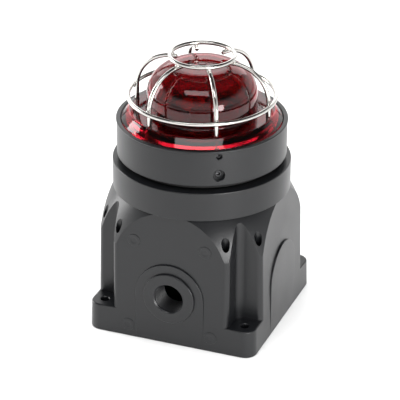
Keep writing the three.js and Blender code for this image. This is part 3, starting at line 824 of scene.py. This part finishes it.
def collar_and_spigot(size):
    out = size.side / 2 + size.collar_proud
    bottom = size.collar_bottom
    top = bottom + size.collar_height
    end = top_of("housing")
    pitch = COVER_PITCH
    profile = rounded([(0, bottom, 0), (out, bottom, 0.4 * MM),
                       (out, top, size.collar_edge), (size.spigot - MM, top, 0)])
    turns = int((end - top - pitch) / pitch)
    for i in range(turns):
        at = top + MM + i * pitch
        profile += [(size.spigot - MM, at), (size.spigot, at + 0.4 * pitch),
                    (size.spigot, at + 0.6 * pitch), (size.spigot - MM, at + pitch)]
    profile += [(size.spigot - MM, end), (0, end)]
    return turned("collar", profile, size.facets)


def moulding_marks(piece, size):
    """Low round marks, dished in the middle, on the front and back panels."""
    rim, rise = size.mark, size.mark_height
    profile = rounded([(0, -2 * MM, 0), (rim, -2 * MM, 0), (rim, rise, 0.3 * MM),
                       (rim * 0.6, rise, 0.6 * MM), (rim * 0.35, rise * 0.3, 0.5 * MM),
                       (0, rise * 0.3, 0)])
    for turn in (0.0, math.pi):
        for x, z in MARK_PLACES:
            face = size.side / 2 - z * MM * math.tan(size.draft)
            place = Matrix.Rotation(turn, 3, "Z") @ Vector((x * MM, -face, z * MM))
            mark = turned("mark", profile, 40)
            placed(mark, (math.pi / 2 - size.draft, "X"), turn, place)
            combine(piece, mark, "UNION")
    return piece


class BEACON_OT_housing(bpy.types.Operator):
    """Builds the cast housing: base, panels, shoulder, collar, spigot and entries"""

    bl_idname = "beacon.housing"
    bl_label = "Housing"

    def execute(self, context):
        size = context.scene.beacon_housing
        piece = panels(size)
        bevel(piece, size.arch_edge, 3, 21)
        combine(piece, base_slab(size), "UNION")
        combine(piece, collar_and_spigot(size), "UNION")
        for turn in QUARTERS:
            combine(piece, arched_pad(size, turn), "UNION")
        hollow = rod("cavity", size.cavity, size.floor, top_of("housing") + MM, 128)
        moulding_marks(piece, size)
        for turn in (0.0, math.pi):
            combine(piece, entry_boss(size, turn), "UNION")
        cut(piece, hollow)
        for turn in (0.0, math.pi):
            cut(piece, entry_cutter(size, turn))
        corner_holes(piece, size)
        earth = middle_of("earth_screw")
        root = size.side / 2 - size.earth_root
        face = size.side / 2 + size.earth_proud
        end = size.side / 2 - size.earth_depth
        boss = turned("boss", rounded([(0, root, 0), (size.earth_boss, root, 0),
                                       (size.earth_boss, face, size.earth_edge),
                                       (size.earth_bore, face, 0),
                                       (size.earth_bore, end, 0), (0, end, 0)]), 48)
        combine(piece, placed(boss, (-math.pi / 2, "X"), 0.0, (earth.x, 0, earth.z)),
                "UNION")
        tidy_normals(piece)
        piece.name = "housing_casting"
        smooth(piece, weighted=True)
        made(paint(piece, "casting"), "housing", "casting", "housing")
        return {"FINISHED"}


# ------------------------------------------------------------------ cover

class BEACON_OT_cover(bpy.types.Operator):
    """Builds the screw-on cover with its rim, seats, sockets and screw holes"""

    bl_idname = "beacon.cover"
    bl_label = "Cover"

    def execute(self, context):
        size = context.scene.beacon_cover
        bottom, top = bottom_of("cover"), top_of("cover")
        out = radius_of("cover") - size.lip
        lip = radius_of("cover")
        bore = out - size.wall
        soft = size.soft_edge
        rim = out - size.rim
        pitch = COVER_PITCH
        profile = [
            (bore, bottom, 0),
            (out, bottom, size.edge),
            (out, top - size.lip_height, soft / 2),
            (lip, top - size.lip_height + size.lip, soft / 2),
            (lip, top, 2 * soft),
            (rim, top, size.rim_edge),
            (rim, top - size.rim_depth, 0),
            (size.glass_bore, top - size.rim_depth, soft),
            (size.glass_bore, top - size.glass_seat, 0),
            (size.opening, top - size.glass_seat, soft),
            (size.opening, top - size.shelf, soft),
            (bore, top - size.shelf, 0),
        ]
        points = rounded(profile, closed=True)
        height = top - size.shelf - bottom
        for i in range(int(height / pitch) - 1, -1, -1):
            at = bottom + 0.6 * MM + i * pitch
            points += [(bore, at + pitch * 0.9), (bore + MM, at + pitch * 0.6),
                       (bore + MM, at + pitch * 0.4), (bore, at + pitch * 0.1)]
        piece = turned("cover_ring", points, size.facets, closed=True)
        for i in range(6):
            leg = plan_of_leg(i)
            hole = rod("socket", size.socket, top - size.rim_depth - size.socket_depth,
                       top, 32)
            cut(piece, placed(hole, at=(leg.x, leg.y, 0)))
        for i in range(3):
            screw = middle_of(f"guard_screw_{i + 1}")
            turn = math.atan2(screw.y, screw.x)
            hole = rod("hole", size.screw_hole, out - size.screw_reach, out + MM, 32)
            cut(piece, facing(hole, turn, screw.z))
            sink = turned("sink", [(0, out - 0.5 * MM),
                                   (size.screw_hole, out - 0.5 * MM),
                                   (size.screw_sink, out + 0.3 * MM),
                                   (0, out + 0.3 * MM)], 40)
            cut(piece, facing(sink, turn, screw.z))
        lock = middle_of("cover_lock_screw")
        turn = math.atan2(lock.y, lock.x)
        recess = turned("recess", [
            (0, bore - MM), (size.lock_hole, bore - MM),
            (size.lock_hole, out - size.lock_recess_depth),
            (size.lock_recess, out - size.lock_recess_depth),
            (size.lock_recess, out - 0.5 * MM),
            (size.lock_recess + 0.7 * MM, out + 0.2 * MM), (0, out + 0.2 * MM)], 56)
        cut(piece, facing(recess, turn, lock.z))
        tidy_normals(piece)
        smooth(piece, 35, weighted=True)
        made(paint(piece, "casting"), "cover", "casting", "cover")
        return {"FINISHED"}


def grub_screw(name, radius, inner, outer, across):
    """A headless screw along Z with a hexagon socket in its outer end."""
    soft = 0.12 * radius
    piece = turned(name, rounded([(0, inner, 0), (radius * 0.6, inner, 0),
                                  (radius, inner + radius * 0.4, 0),
                                  (radius, outer - soft, 0),
                                  (radius - soft, outer, 0), (0, outer, 0)]), 40)
    cut(piece, hexagon_cutter("key", across, outer - radius, outer + MM))
    return smooth(bevel(piece, 0.05 * MM, 2, 40), 30)


class BEACON_OT_cover_screws(bpy.types.Operator):
    """Builds the guard's three set screws and the cover's locking screw"""

    bl_idname = "beacon.cover_screws"
    bl_label = "Cover screws"

    def execute(self, context):
        for i in range(3):
            node = f"guard_screw_{i + 1}"
            centre = middle_of(node)
            turn = math.atan2(centre.y, centre.x)
            reach = math.hypot(centre.x, centre.y)
            piece = grub_screw(f"guard_set_screw_{i + 1}", 2 * MM, reach - 4 * MM,
                               reach + 4 * MM, 2 * MM)
            facing(piece, turn, centre.z)
            made(paint(piece, "oxide"), "cover", "stainless", node)
        centre = middle_of("cover_lock_screw")
        turn = math.atan2(centre.y, centre.x)
        reach = math.hypot(centre.x, centre.y)
        piece = grub_screw("cover_locking_screw", 2.8 * MM, reach - 2.1 * MM,
                           reach + 2.1 * MM, 3 * MM)
        facing(piece, turn, centre.z)
        made(paint(piece, "oxide"), "cover", "stainless", "cover_lock_screw")
        return {"FINISHED"}


class BEACON_OT_seals(bpy.types.Operator):
    """Builds the cover seal and the lens gasket"""

    bl_idname = "beacon.seals"
    bl_label = "Seals"

    def execute(self, context):
        for node, name, body, width in (
                ("cover_seal", "cover_o_ring", "seal", 3.2 * MM),
                ("lens_gasket", "lens_flat_gasket", "cover", 5.6 * MM)):
            out, bottom, top = radius_of(node), bottom_of(node), top_of(node)
            soft = min(width, top - bottom) * 0.35
            piece = turned(name, rounded([
                (out - width, bottom, soft), (out, bottom, soft), (out, top, soft),
                (out - width, top, soft)], closed=True), 128, closed=True)
            smooth(piece, 60)
            made(paint(piece, "rubber"), body, "rubber", node)
        return {"FINISHED"}


# ------------------------------------------------------------------ lens and glass

class BEACON_OT_lens(bpy.types.Operator):
    """Builds the red lens with its stepped flange, crown and moulding mark"""

    bl_idname = "beacon.lens"
    bl_label = "Lens"

    def execute(self, context):
        size = context.scene.beacon_lens
        wall = size.wall
        bottom, top = bottom_of("lens"), top_of("lens") - size.nub_height
        out = radius_of("lens")
        rim = top_of("cover")
        deck = rim + size.deck_height
        deck_edge = radius_of("cover") - 0.5 * MM - 3.4 * MM - size.slope
        dome = deck_edge - size.deck
        inner = dome - wall
        crown = size.crown
        centre = (dome - crown, top - crown)
        profile = [(0, top - wall)]
        profile += arc(centre, crown - wall, 90, 0, 16)
        profile += rounded([
            (inner, deck, 0), (inner, deck - wall, 0.8 * MM),
            (deck_edge - wall, deck - wall, 0.8 * MM),
            (deck_edge - wall * 0.6, bottom, 0.5 * MM),
            (out, bottom, 0.3 * MM), (out, bottom + size.edge_height, 0.5 * MM),
            (deck_edge, deck, 2.2 * MM), (dome, deck, 1.4 * MM),
            (dome, deck + 3 * MM, 0)])
        profile += arc(centre, crown, 0, 90, 16)
        profile += rounded([(size.nub + MM, top, 0), (size.nub, top, 0.3 * MM),
                            (size.nub * 0.9, top + size.nub_height, 0.4 * MM),
                            (0, top + size.nub_height, 0)])
        piece = turned("lens_moulding", profile, size.facets)
        for i in range(6):
            leg = plan_of_leg(i)
            hole = rod("hole", 2 * MM, deck - 6 * MM, deck + MM, 32)
            cut(piece, placed(hole, at=(leg.x, leg.y, 0)))
        tidy_normals(piece)
        smooth(piece, 40, weighted=True)
        made(paint(piece, "lens"), "cover", "lens", "lens")
        return {"FINISHED"}


class BEACON_OT_glass(bpy.types.Operator):
    """Builds the glass dome and the ring that holds it"""

    bl_idname = "beacon.glass"
    bl_label = "Glass dome"

    def execute(self, context):
        size = context.scene.beacon_lens
        bottom, top = bottom_of("glass_dome"), top_of("glass_dome")
        flange = radius_of("glass_dome")
        out = flange - 11.2 * MM
        inner = out - size.glass_wall
        springing = top - out
        retainer = bottom_of("glass_retainer") - 0.3 * MM
        profile = arc((0, springing), inner, 90, 0, 20)
        profile[0] = (0, profile[0][1])
        profile += rounded([(inner, bottom + MM, 0), (inner, bottom, 0.5 * MM),
                            (flange, bottom, 0.5 * MM), (flange, retainer, 0.5 * MM),
                            (out, retainer, 0.8 * MM), (out, retainer + 3 * MM, 0)])
        rise = arc((0, springing), out, 0, 90, 20)
        rise[-1] = (0, rise[-1][1])
        piece = turned("glass_inner_dome", profile + rise, 96)
        smooth(piece, 40)
        made(paint(piece, "glass"), "cover", "glass", "glass_dome")
        low, high = bottom_of("glass_retainer"), top_of("glass_retainer")
        edge = radius_of("glass_retainer")
        ring = turned("glass_retaining_ring", rounded([
            (out + MM, low, 0.3 * MM), (edge, low, 0.3 * MM), (edge, high, 0.3 * MM),
            (out + MM, high, 0.3 * MM)], closed=True), 96, closed=True)
        smooth(ring, 40)
        made(paint(ring, "stainless"), "cover", "stainless", "glass_retainer")
        return {"FINISHED"}


# ------------------------------------------------------------------ guard

def leg_turn(i):
    """Plan angle of a guard leg, from the CAD leg's lower stretch."""
    node = frame["nodes"][f"guard_leg_{i + 1}"]
    low = bottom_of(node.name)
    foot = [v.co for v in node.data.vertices if v.co.z < low + MERGE]
    centre = sum(foot, Vector()) / len(foot)
    return math.atan2(centre.y, centre.x), math.hypot(centre.x, centre.y)


def plan_of_leg(i):
    turn, reach = leg_turn(i)
    return Vector((reach * math.cos(turn), reach * math.sin(turn), 0))


def wire_leg(name, size, reach):
    """Extrudes a ring of vertices over the bend and down into its socket."""
    node = "guard_leg_1"
    foot, top = bottom_of(node), top_of(node) - size.wire / 2
    ring = middle_of("guard_middle_ring").z
    bend = top - ring
    start = radius_of("guard_top_ring") - size.wire / 2 - size.stub
    deselect()
    bpy.ops.mesh.primitive_circle_add(vertices=size.facets, radius=size.wire / 2,
                                      fill_type="NGON")
    piece = placed(named(name), (math.pi / 2, "Y"), 0.0, (start, 0, top))
    edit(piece)
    bpy.ops.mesh.select_all(action="SELECT")
    bpy.ops.mesh.extrude_region_move(
        TRANSFORM_OT_translate={"value": (reach - bend - start, 0, 0)})
    bpy.ops.mesh.spin(steps=20, angle=math.pi / 2, center=(reach - bend, 0, ring),
                      axis=(0, -1, 0))
    bpy.ops.mesh.extrude_region_move(
        TRANSFORM_OT_translate={"value": (0, 0, foot - ring)})
    bpy.ops.mesh.select_all(action="SELECT")
    bpy.ops.mesh.remove_doubles(threshold=MERGE)
    bpy.ops.mesh.normals_make_consistent(inside=False)
    close_edit()
    return smooth(bevel(piece, 0.35 * MM, 2, 60), 40)


def wire_ring(name, node, size):
    out = radius_of(node)
    deselect()
    bpy.ops.mesh.primitive_torus_add(
        major_segments=size.steps, minor_segments=size.facets,
        major_radius=out - size.wire / 2, minor_radius=size.wire / 2,
        location=(0, 0, middle_of(node).z))
    return settle(named(name))


def weld_bead(radius, at, turn, stretch):
    """A flattened bead of weld where a leg meets a ring."""
    deselect()
    bpy.ops.mesh.primitive_uv_sphere_add(segments=20, ring_count=12, radius=radius)
    piece = named("bead")
    edit(piece)
    bpy.ops.mesh.select_all(action="SELECT")
    bpy.ops.transform.resize(value=stretch, center_override=(0, 0, 0))
    close_edit()
    return placed(piece, turn=turn, at=at)


class BEACON_OT_guard(bpy.types.Operator):
    """Builds the wire guard: two rings, six bent legs and their welds"""

    bl_idname = "beacon.guard"
    bl_label = "Wire guard"

    def execute(self, context):
        size = context.scene.beacon_guard
        turns = [leg_turn(i) for i in range(6)]
        reach = turns[0][1]
        first = wire_leg("guard_wire_leg", size, reach)
        for i, (turn, _) in enumerate(turns):
            leg = copy_of(first, f"guard_wire_leg_{i + 1}")
            placed(leg, turn=turn)
            smooth(leg, 40)
            made(paint(leg, "stainless"), "cover", "stainless", f"guard_leg_{i + 1}")
        bpy.data.objects.remove(first)
        upper = radius_of("guard_top_ring") - size.wire / 2
        lower = reach + size.wire / 2
        for node, name, weld_at, drop, stretch in (
                ("guard_top_ring", "guard_upper_ring", upper, -size.wire / 2,
                 (0.95, 0.85, 0.55)),
                ("guard_middle_ring", "guard_lower_ring", lower, 0.0, (0.55, 0.85, 0.95))):
            ring = wire_ring(name, node, size)
            height = middle_of(node).z + drop
            for turn, _ in turns:
                at = (weld_at * math.cos(turn), weld_at * math.sin(turn), height)
                combine(ring, weld_bead(size.weld, at, turn, stretch), "UNION")
            smooth(ring, 40)
            made(paint(ring, "stainless"), "cover", "stainless", node)
        return {"FINISHED"}


# ------------------------------------------------------------------ plug and earth terminal

class BEACON_OT_plug(bpy.types.Operator):
    """Builds the stopping plug in the rear entry and its washer"""

    bl_idname = "beacon.plug"
    bl_label = "Stopping plug"

    def execute(self, context):
        low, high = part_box("stopping_plug")
        inner, outer = low.y, high.y
        centre = middle_of("stopping_plug").z
        head = (high.x - low.x) / 2
        head_in = outer - 5 * MM
        shank = 11.4 * MM
        profile = [(0, inner), (shank - MM, inner)]
        pitch = 1.5 * MM
        for i in range(int((head_in - inner - 2 * MM) / pitch)):
            at = inner + 0.6 * MM + i * pitch
            profile += [(shank - 0.8 * MM, at), (shank, at + 0.6 * MM),
                        (shank, at + 0.9 * MM), (shank - 0.8 * MM, at + pitch)]
        profile += rounded([(shank - 0.8 * MM, head_in - MM, 0),
                            (shank - 0.8 * MM, head_in, 0),
                            (head, head_in, 0.4 * MM), (head, outer, 0.9 * MM),
                            (0, outer, 0)])
        piece = turned("blanking_plug", profile, 64)
        cut(piece, hexagon_cutter("key", 10 * MM, outer - 9 * MM, outer + MM))
        placed(piece, (-math.pi / 2, "X"), 0.0, (0, 0, centre))
        tidy_normals(piece)
        smooth(piece, 30, weighted=True)
        made(paint(piece, "stainless"), "housing", "stainless", "stopping_plug")
        low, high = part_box("plug_seal")
        out = (high.x - low.x) / 2
        soft = 0.45 * MM
        washer = turned("plug_washer", rounded([
            (12.9 * MM, low.y, soft), (out, low.y, soft), (out, high.y, soft),
            (12.9 * MM, high.y, soft)], closed=True), 64, closed=True)
        placed(washer, (-math.pi / 2, "X"), 0.0, (0, 0, centre))
        smooth(washer, 40)
        made(paint(washer, "rubber"), "housing", "rubber", "plug_seal")
        return {"FINISHED"}


class BEACON_OT_earth(bpy.types.Operator):
    """Builds the earth screw and its washer on the rear face"""

    bl_idname = "beacon.earth"
    bl_label = "Earth terminal"

    def execute(self, context):
        low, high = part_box("earth_screw")
        centre = (low + high) / 2
        head = (high.x - low.x) / 2
        head_in = high.y - 3.6 * MM
        shank = 2.9 * MM
        profile = rounded([(0, low.y, 0), (shank, low.y, 0), (shank, head_in, 0),
                           (head, head_in, 0.2 * MM), (head, high.y - MM, 0.6 * MM),
                           (head * 0.5, high.y, 1.0 * MM), (0, high.y, 0)])
        piece = turned("earth_pan_screw", profile, 48)
        cut(piece, box("slot", (-head, -0.6 * MM, high.y - 1.8 * MM),
                       (head, 0.6 * MM, high.y + MM)))
        placed(piece, (-math.pi / 2, "X"), 0.0, (centre.x, 0, centre.z))
        smooth(bevel(piece, 0.08 * MM, 2, 45), 30)
        made(paint(piece, "stainless"), "housing", "stainless", "earth_screw")
        low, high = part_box("earth_washer")
        out = (high.x - low.x) / 2
        soft = 0.25 * MM
        washer = turned("earth_cup_washer", rounded([
            (3.3 * MM, low.y, soft), (out, low.y, soft), (out, high.y, soft),
            (3.3 * MM, high.y, soft)], closed=True), 48, closed=True)
        placed(washer, (-math.pi / 2, "X"), 0.0, (centre.x, 0, centre.z))
        smooth(washer, 40)
        made(paint(washer, "brass"), "housing", "brass", "earth_washer")
        return {"FINISHED"}


# ------------------------------------------------------------------ lamp

class BEACON_OT_lamp(bpy.types.Operator):
    """Builds the reflector, the lamp base and the flash tube"""

    bl_idname = "beacon.lamp"
    bl_label = "Lamp"

    def execute(self, context):
        out, low, high = radius_of("reflector"), bottom_of("reflector"), top_of("reflector")
        neck, wall = 12 * MM, 1.4 * MM
        inner = [(neck + (out - neck) * i / 12,
                  low + wall + (high - low - wall) * (i / 12) ** 1.8)
                 for i in range(13)]
        outer = [(r, z - wall) for r, z in reversed(inner)]
        dish = turned("lamp_reflector", inner + outer, 96, closed=True)
        smooth(dish, 40)
        made(paint(dish, "reflector"), "housing", "reflector", "reflector")
        out, low, high = radius_of("lamp_base"), bottom_of("lamp_base"), top_of("lamp_base")
        base = turned("lamp_holder", rounded([
            (0, low, 0), (out, low, 0.4 * MM), (out, high - 4 * MM, 0.6 * MM),
            (out - 1.5 * MM, high - 4 * MM, 0.4 * MM), (out - 1.5 * MM, high, 0.8 * MM),
            (0, high, 0)]), 64)
        smooth(base, 40)
        made(paint(base, "ceramic"), "housing", "ceramic", "lamp_base")
        low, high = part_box("flash_tube")
        tube = (high.y - low.y) / 2
        half = (high.x - low.x) / 2 - tube
        springing = high.z - tube - half
        deselect()
        bpy.ops.mesh.primitive_circle_add(vertices=24, radius=tube, fill_type="NGON")
        piece = placed(named("xenon_flash_tube"), at=(-half, 0, low.z))
        edit(piece)
        bpy.ops.mesh.select_all(action="SELECT")
        bpy.ops.mesh.extrude_region_move(
            TRANSFORM_OT_translate={"value": (0, 0, springing - low.z)})
        bpy.ops.mesh.spin(steps=24, angle=math.pi, center=(0, 0, springing),
                          axis=(0, -1, 0))
        bpy.ops.mesh.extrude_region_move(
            TRANSFORM_OT_translate={"value": (0, 0, low.z - springing)})
        bpy.ops.mesh.select_all(action="SELECT")
        bpy.ops.mesh.remove_doubles(threshold=MERGE)
        bpy.ops.mesh.normals_make_consistent(inside=False)
        close_edit()
        smooth(bevel(piece, 0.4 * MM, 2, 60), 40)
        made(paint(piece, "glass"), "housing", "glass", "flash_tube")
        return {"FINISHED"}


class BEACON_OT_boards(bpy.types.Operator):
    """Gives the boards, pillars and circuit parts their finishes"""

    bl_idname = "beacon.boards"
    bl_label = "Boards and circuit parts"

    def execute(self, context):
        slots = {row["node"]: row["material_slot"]
                 for row in frame["record"]["subparts"]}
        for name, node in frame["nodes"].items():
            if not node.hide_render:
                paint(node, slots[name])
        return {"FINISHED"}


# ------------------------------------------------------------------ stage

def soft_light(name, at, target, width, height, power):
    deselect()
    bpy.ops.object.light_add(type="AREA", location=at)
    light = bpy.context.object
    light.name = name
    light.data.shape = "RECTANGLE"
    light.data.size = width
    light.data.size_y = height
    light.data.energy = power
    look = Vector(target) - Vector(at)
    light.rotation_euler = look.to_track_quat("-Z", "Y").to_euler()
    return light


def aimed(turn, rise, distance):
    """A place seen from the beacon: degrees round from the front, degrees up, distance."""
    turn, rise = math.radians(turn), math.radians(rise)
    return (distance * math.sin(turn) * math.cos(rise),
            -distance * math.cos(turn) * math.cos(rise), distance * math.sin(rise) + 0.1)


def surroundings(size):
    """White walls that fade to a dim ceiling."""
    world = bpy.data.worlds.new("surroundings")
    world.use_nodes = True
    nodes, links = world.node_tree.nodes, world.node_tree.links
    place = nodes.new("ShaderNodeTexCoord")
    parts = nodes.new("ShaderNodeSeparateXYZ")
    links.new(place.outputs["Generated"], parts.inputs["Vector"])
    rise = spread(nodes, links, parts.outputs["Z"], size.walls, size.ceiling, 0.3, 0.5)
    links.new(rise, nodes["Background"].inputs["Strength"])
    nodes["Background"].inputs["Color"].default_value = (1, 1, 1, 1)
    return world


class BEACON_OT_stage(bpy.types.Operator):
    """Sets the camera, the pale floor, the white surroundings and the soft lights"""

    bl_idname = "beacon.stage"
    bl_label = "Stage"

    def execute(self, context):
        size = context.scene.beacon_stage
        away = Vector((math.sin(size.around) * math.cos(size.stand),
                       -math.cos(size.around) * math.cos(size.stand),
                       math.sin(size.stand)))
        deselect()
        bpy.ops.object.camera_add(location=away * size.distance + Z * size.aim)
        camera = bpy.context.object
        camera.name = "camera"
        camera.rotation_euler = (
            Matrix.Rotation(size.turn, 3, "Z")
            @ Matrix.Rotation(math.pi / 2 - size.look_down, 3, "X")
            @ Matrix.Rotation(size.roll, 3, "Z")).to_euler()
        camera.data.lens = size.lens
        camera.data.sensor_width = 36
        context.scene.camera = camera
        deselect()
        bpy.ops.mesh.primitive_plane_add(size=size.floor_size)
        floor = named("floor")
        material, nodes, links, shader = new_finish("pale_floor")
        clouds = noise(nodes, links, 3.0)
        tint = context.scene.beacon_finishes.floor
        links.new(two_tone(nodes, links, clouds.outputs["Fac"], shade_of(tint, 0.99), tint),
                  shader.inputs["Base Color"])
        shader.inputs["Roughness"].default_value = 0.9
        floor.data.materials.append(material)
        context.scene.world = surroundings(size)
        context.scene.view_settings.view_transform = "Standard"
        middle = (0, 0, 0.12)
        top = soft_light("top", (0, 0, 2.2), middle, 3.2, 3.2, size.top)
        top.visible_glossy = False
        # Each soft light: degrees round and up, distance, then its width and height.
        soft_light("right", aimed(52, 5, 1.3), middle, 0.6, 0.42, size.right)
        soft_light("back", aimed(203, 28, 1.5), middle, 2.0, 0.7, size.back)
        soft_light("front", aimed(14, 60, 1.4), middle, 1.3, 0.4, size.front)
        soft_light("left", aimed(-95, 12, 1.4), middle, 0.5, 0.9, size.left)
        return {"FINISHED"}


# ------------------------------------------------------------------ panel and main

class BEACON_PT_panel(bpy.types.Panel):
    """Lists the beacon's pieces in the sidebar"""

    bl_label = "Strobe Beacon"
    bl_idname = "BEACON_PT_panel"
    bl_space_type = "VIEW_3D"
    bl_region_type = "UI"
    bl_category = "Beacon"

    def draw(self, context):
        for operator in OPERATORS:
            self.layout.operator(operator.bl_idname)


GROUPS = {
    "beacon_housing": BeaconHousingSizes,
    "beacon_cover": BeaconCoverSizes,
    "beacon_lens": BeaconLensSizes,
    "beacon_guard": BeaconGuardSizes,
    "beacon_finishes": BeaconFinishes,
    "beacon_stage": BeaconStageSettings,
}
OPERATORS = (
    BEACON_OT_housing, BEACON_OT_cover, BEACON_OT_cover_screws, BEACON_OT_seals,
    BEACON_OT_lens, BEACON_OT_glass, BEACON_OT_guard, BEACON_OT_plug, BEACON_OT_earth,
    BEACON_OT_lamp, BEACON_OT_boards, BEACON_OT_stage,
)


def register():
    for group in GROUPS.values():
        bpy.utils.register_class(group)
    for name, group in GROUPS.items():
        setattr(bpy.types.Scene, name, PointerProperty(type=group))
    for operator in OPERATORS:
        bpy.utils.register_class(operator)
    bpy.utils.register_class(BEACON_PT_panel)


def unregister():
    bpy.utils.unregister_class(BEACON_PT_panel)
    for operator in reversed(OPERATORS):
        bpy.utils.unregister_class(operator)
    for name, group in GROUPS.items():
        delattr(bpy.types.Scene, name)
        bpy.utils.unregister_class(group)


def main():
    register()
    for operator in OPERATORS:
        family, name = operator.bl_idname.split(".")
        getattr(getattr(bpy.ops, family), name)()


if __name__ == "__main__":
    main()
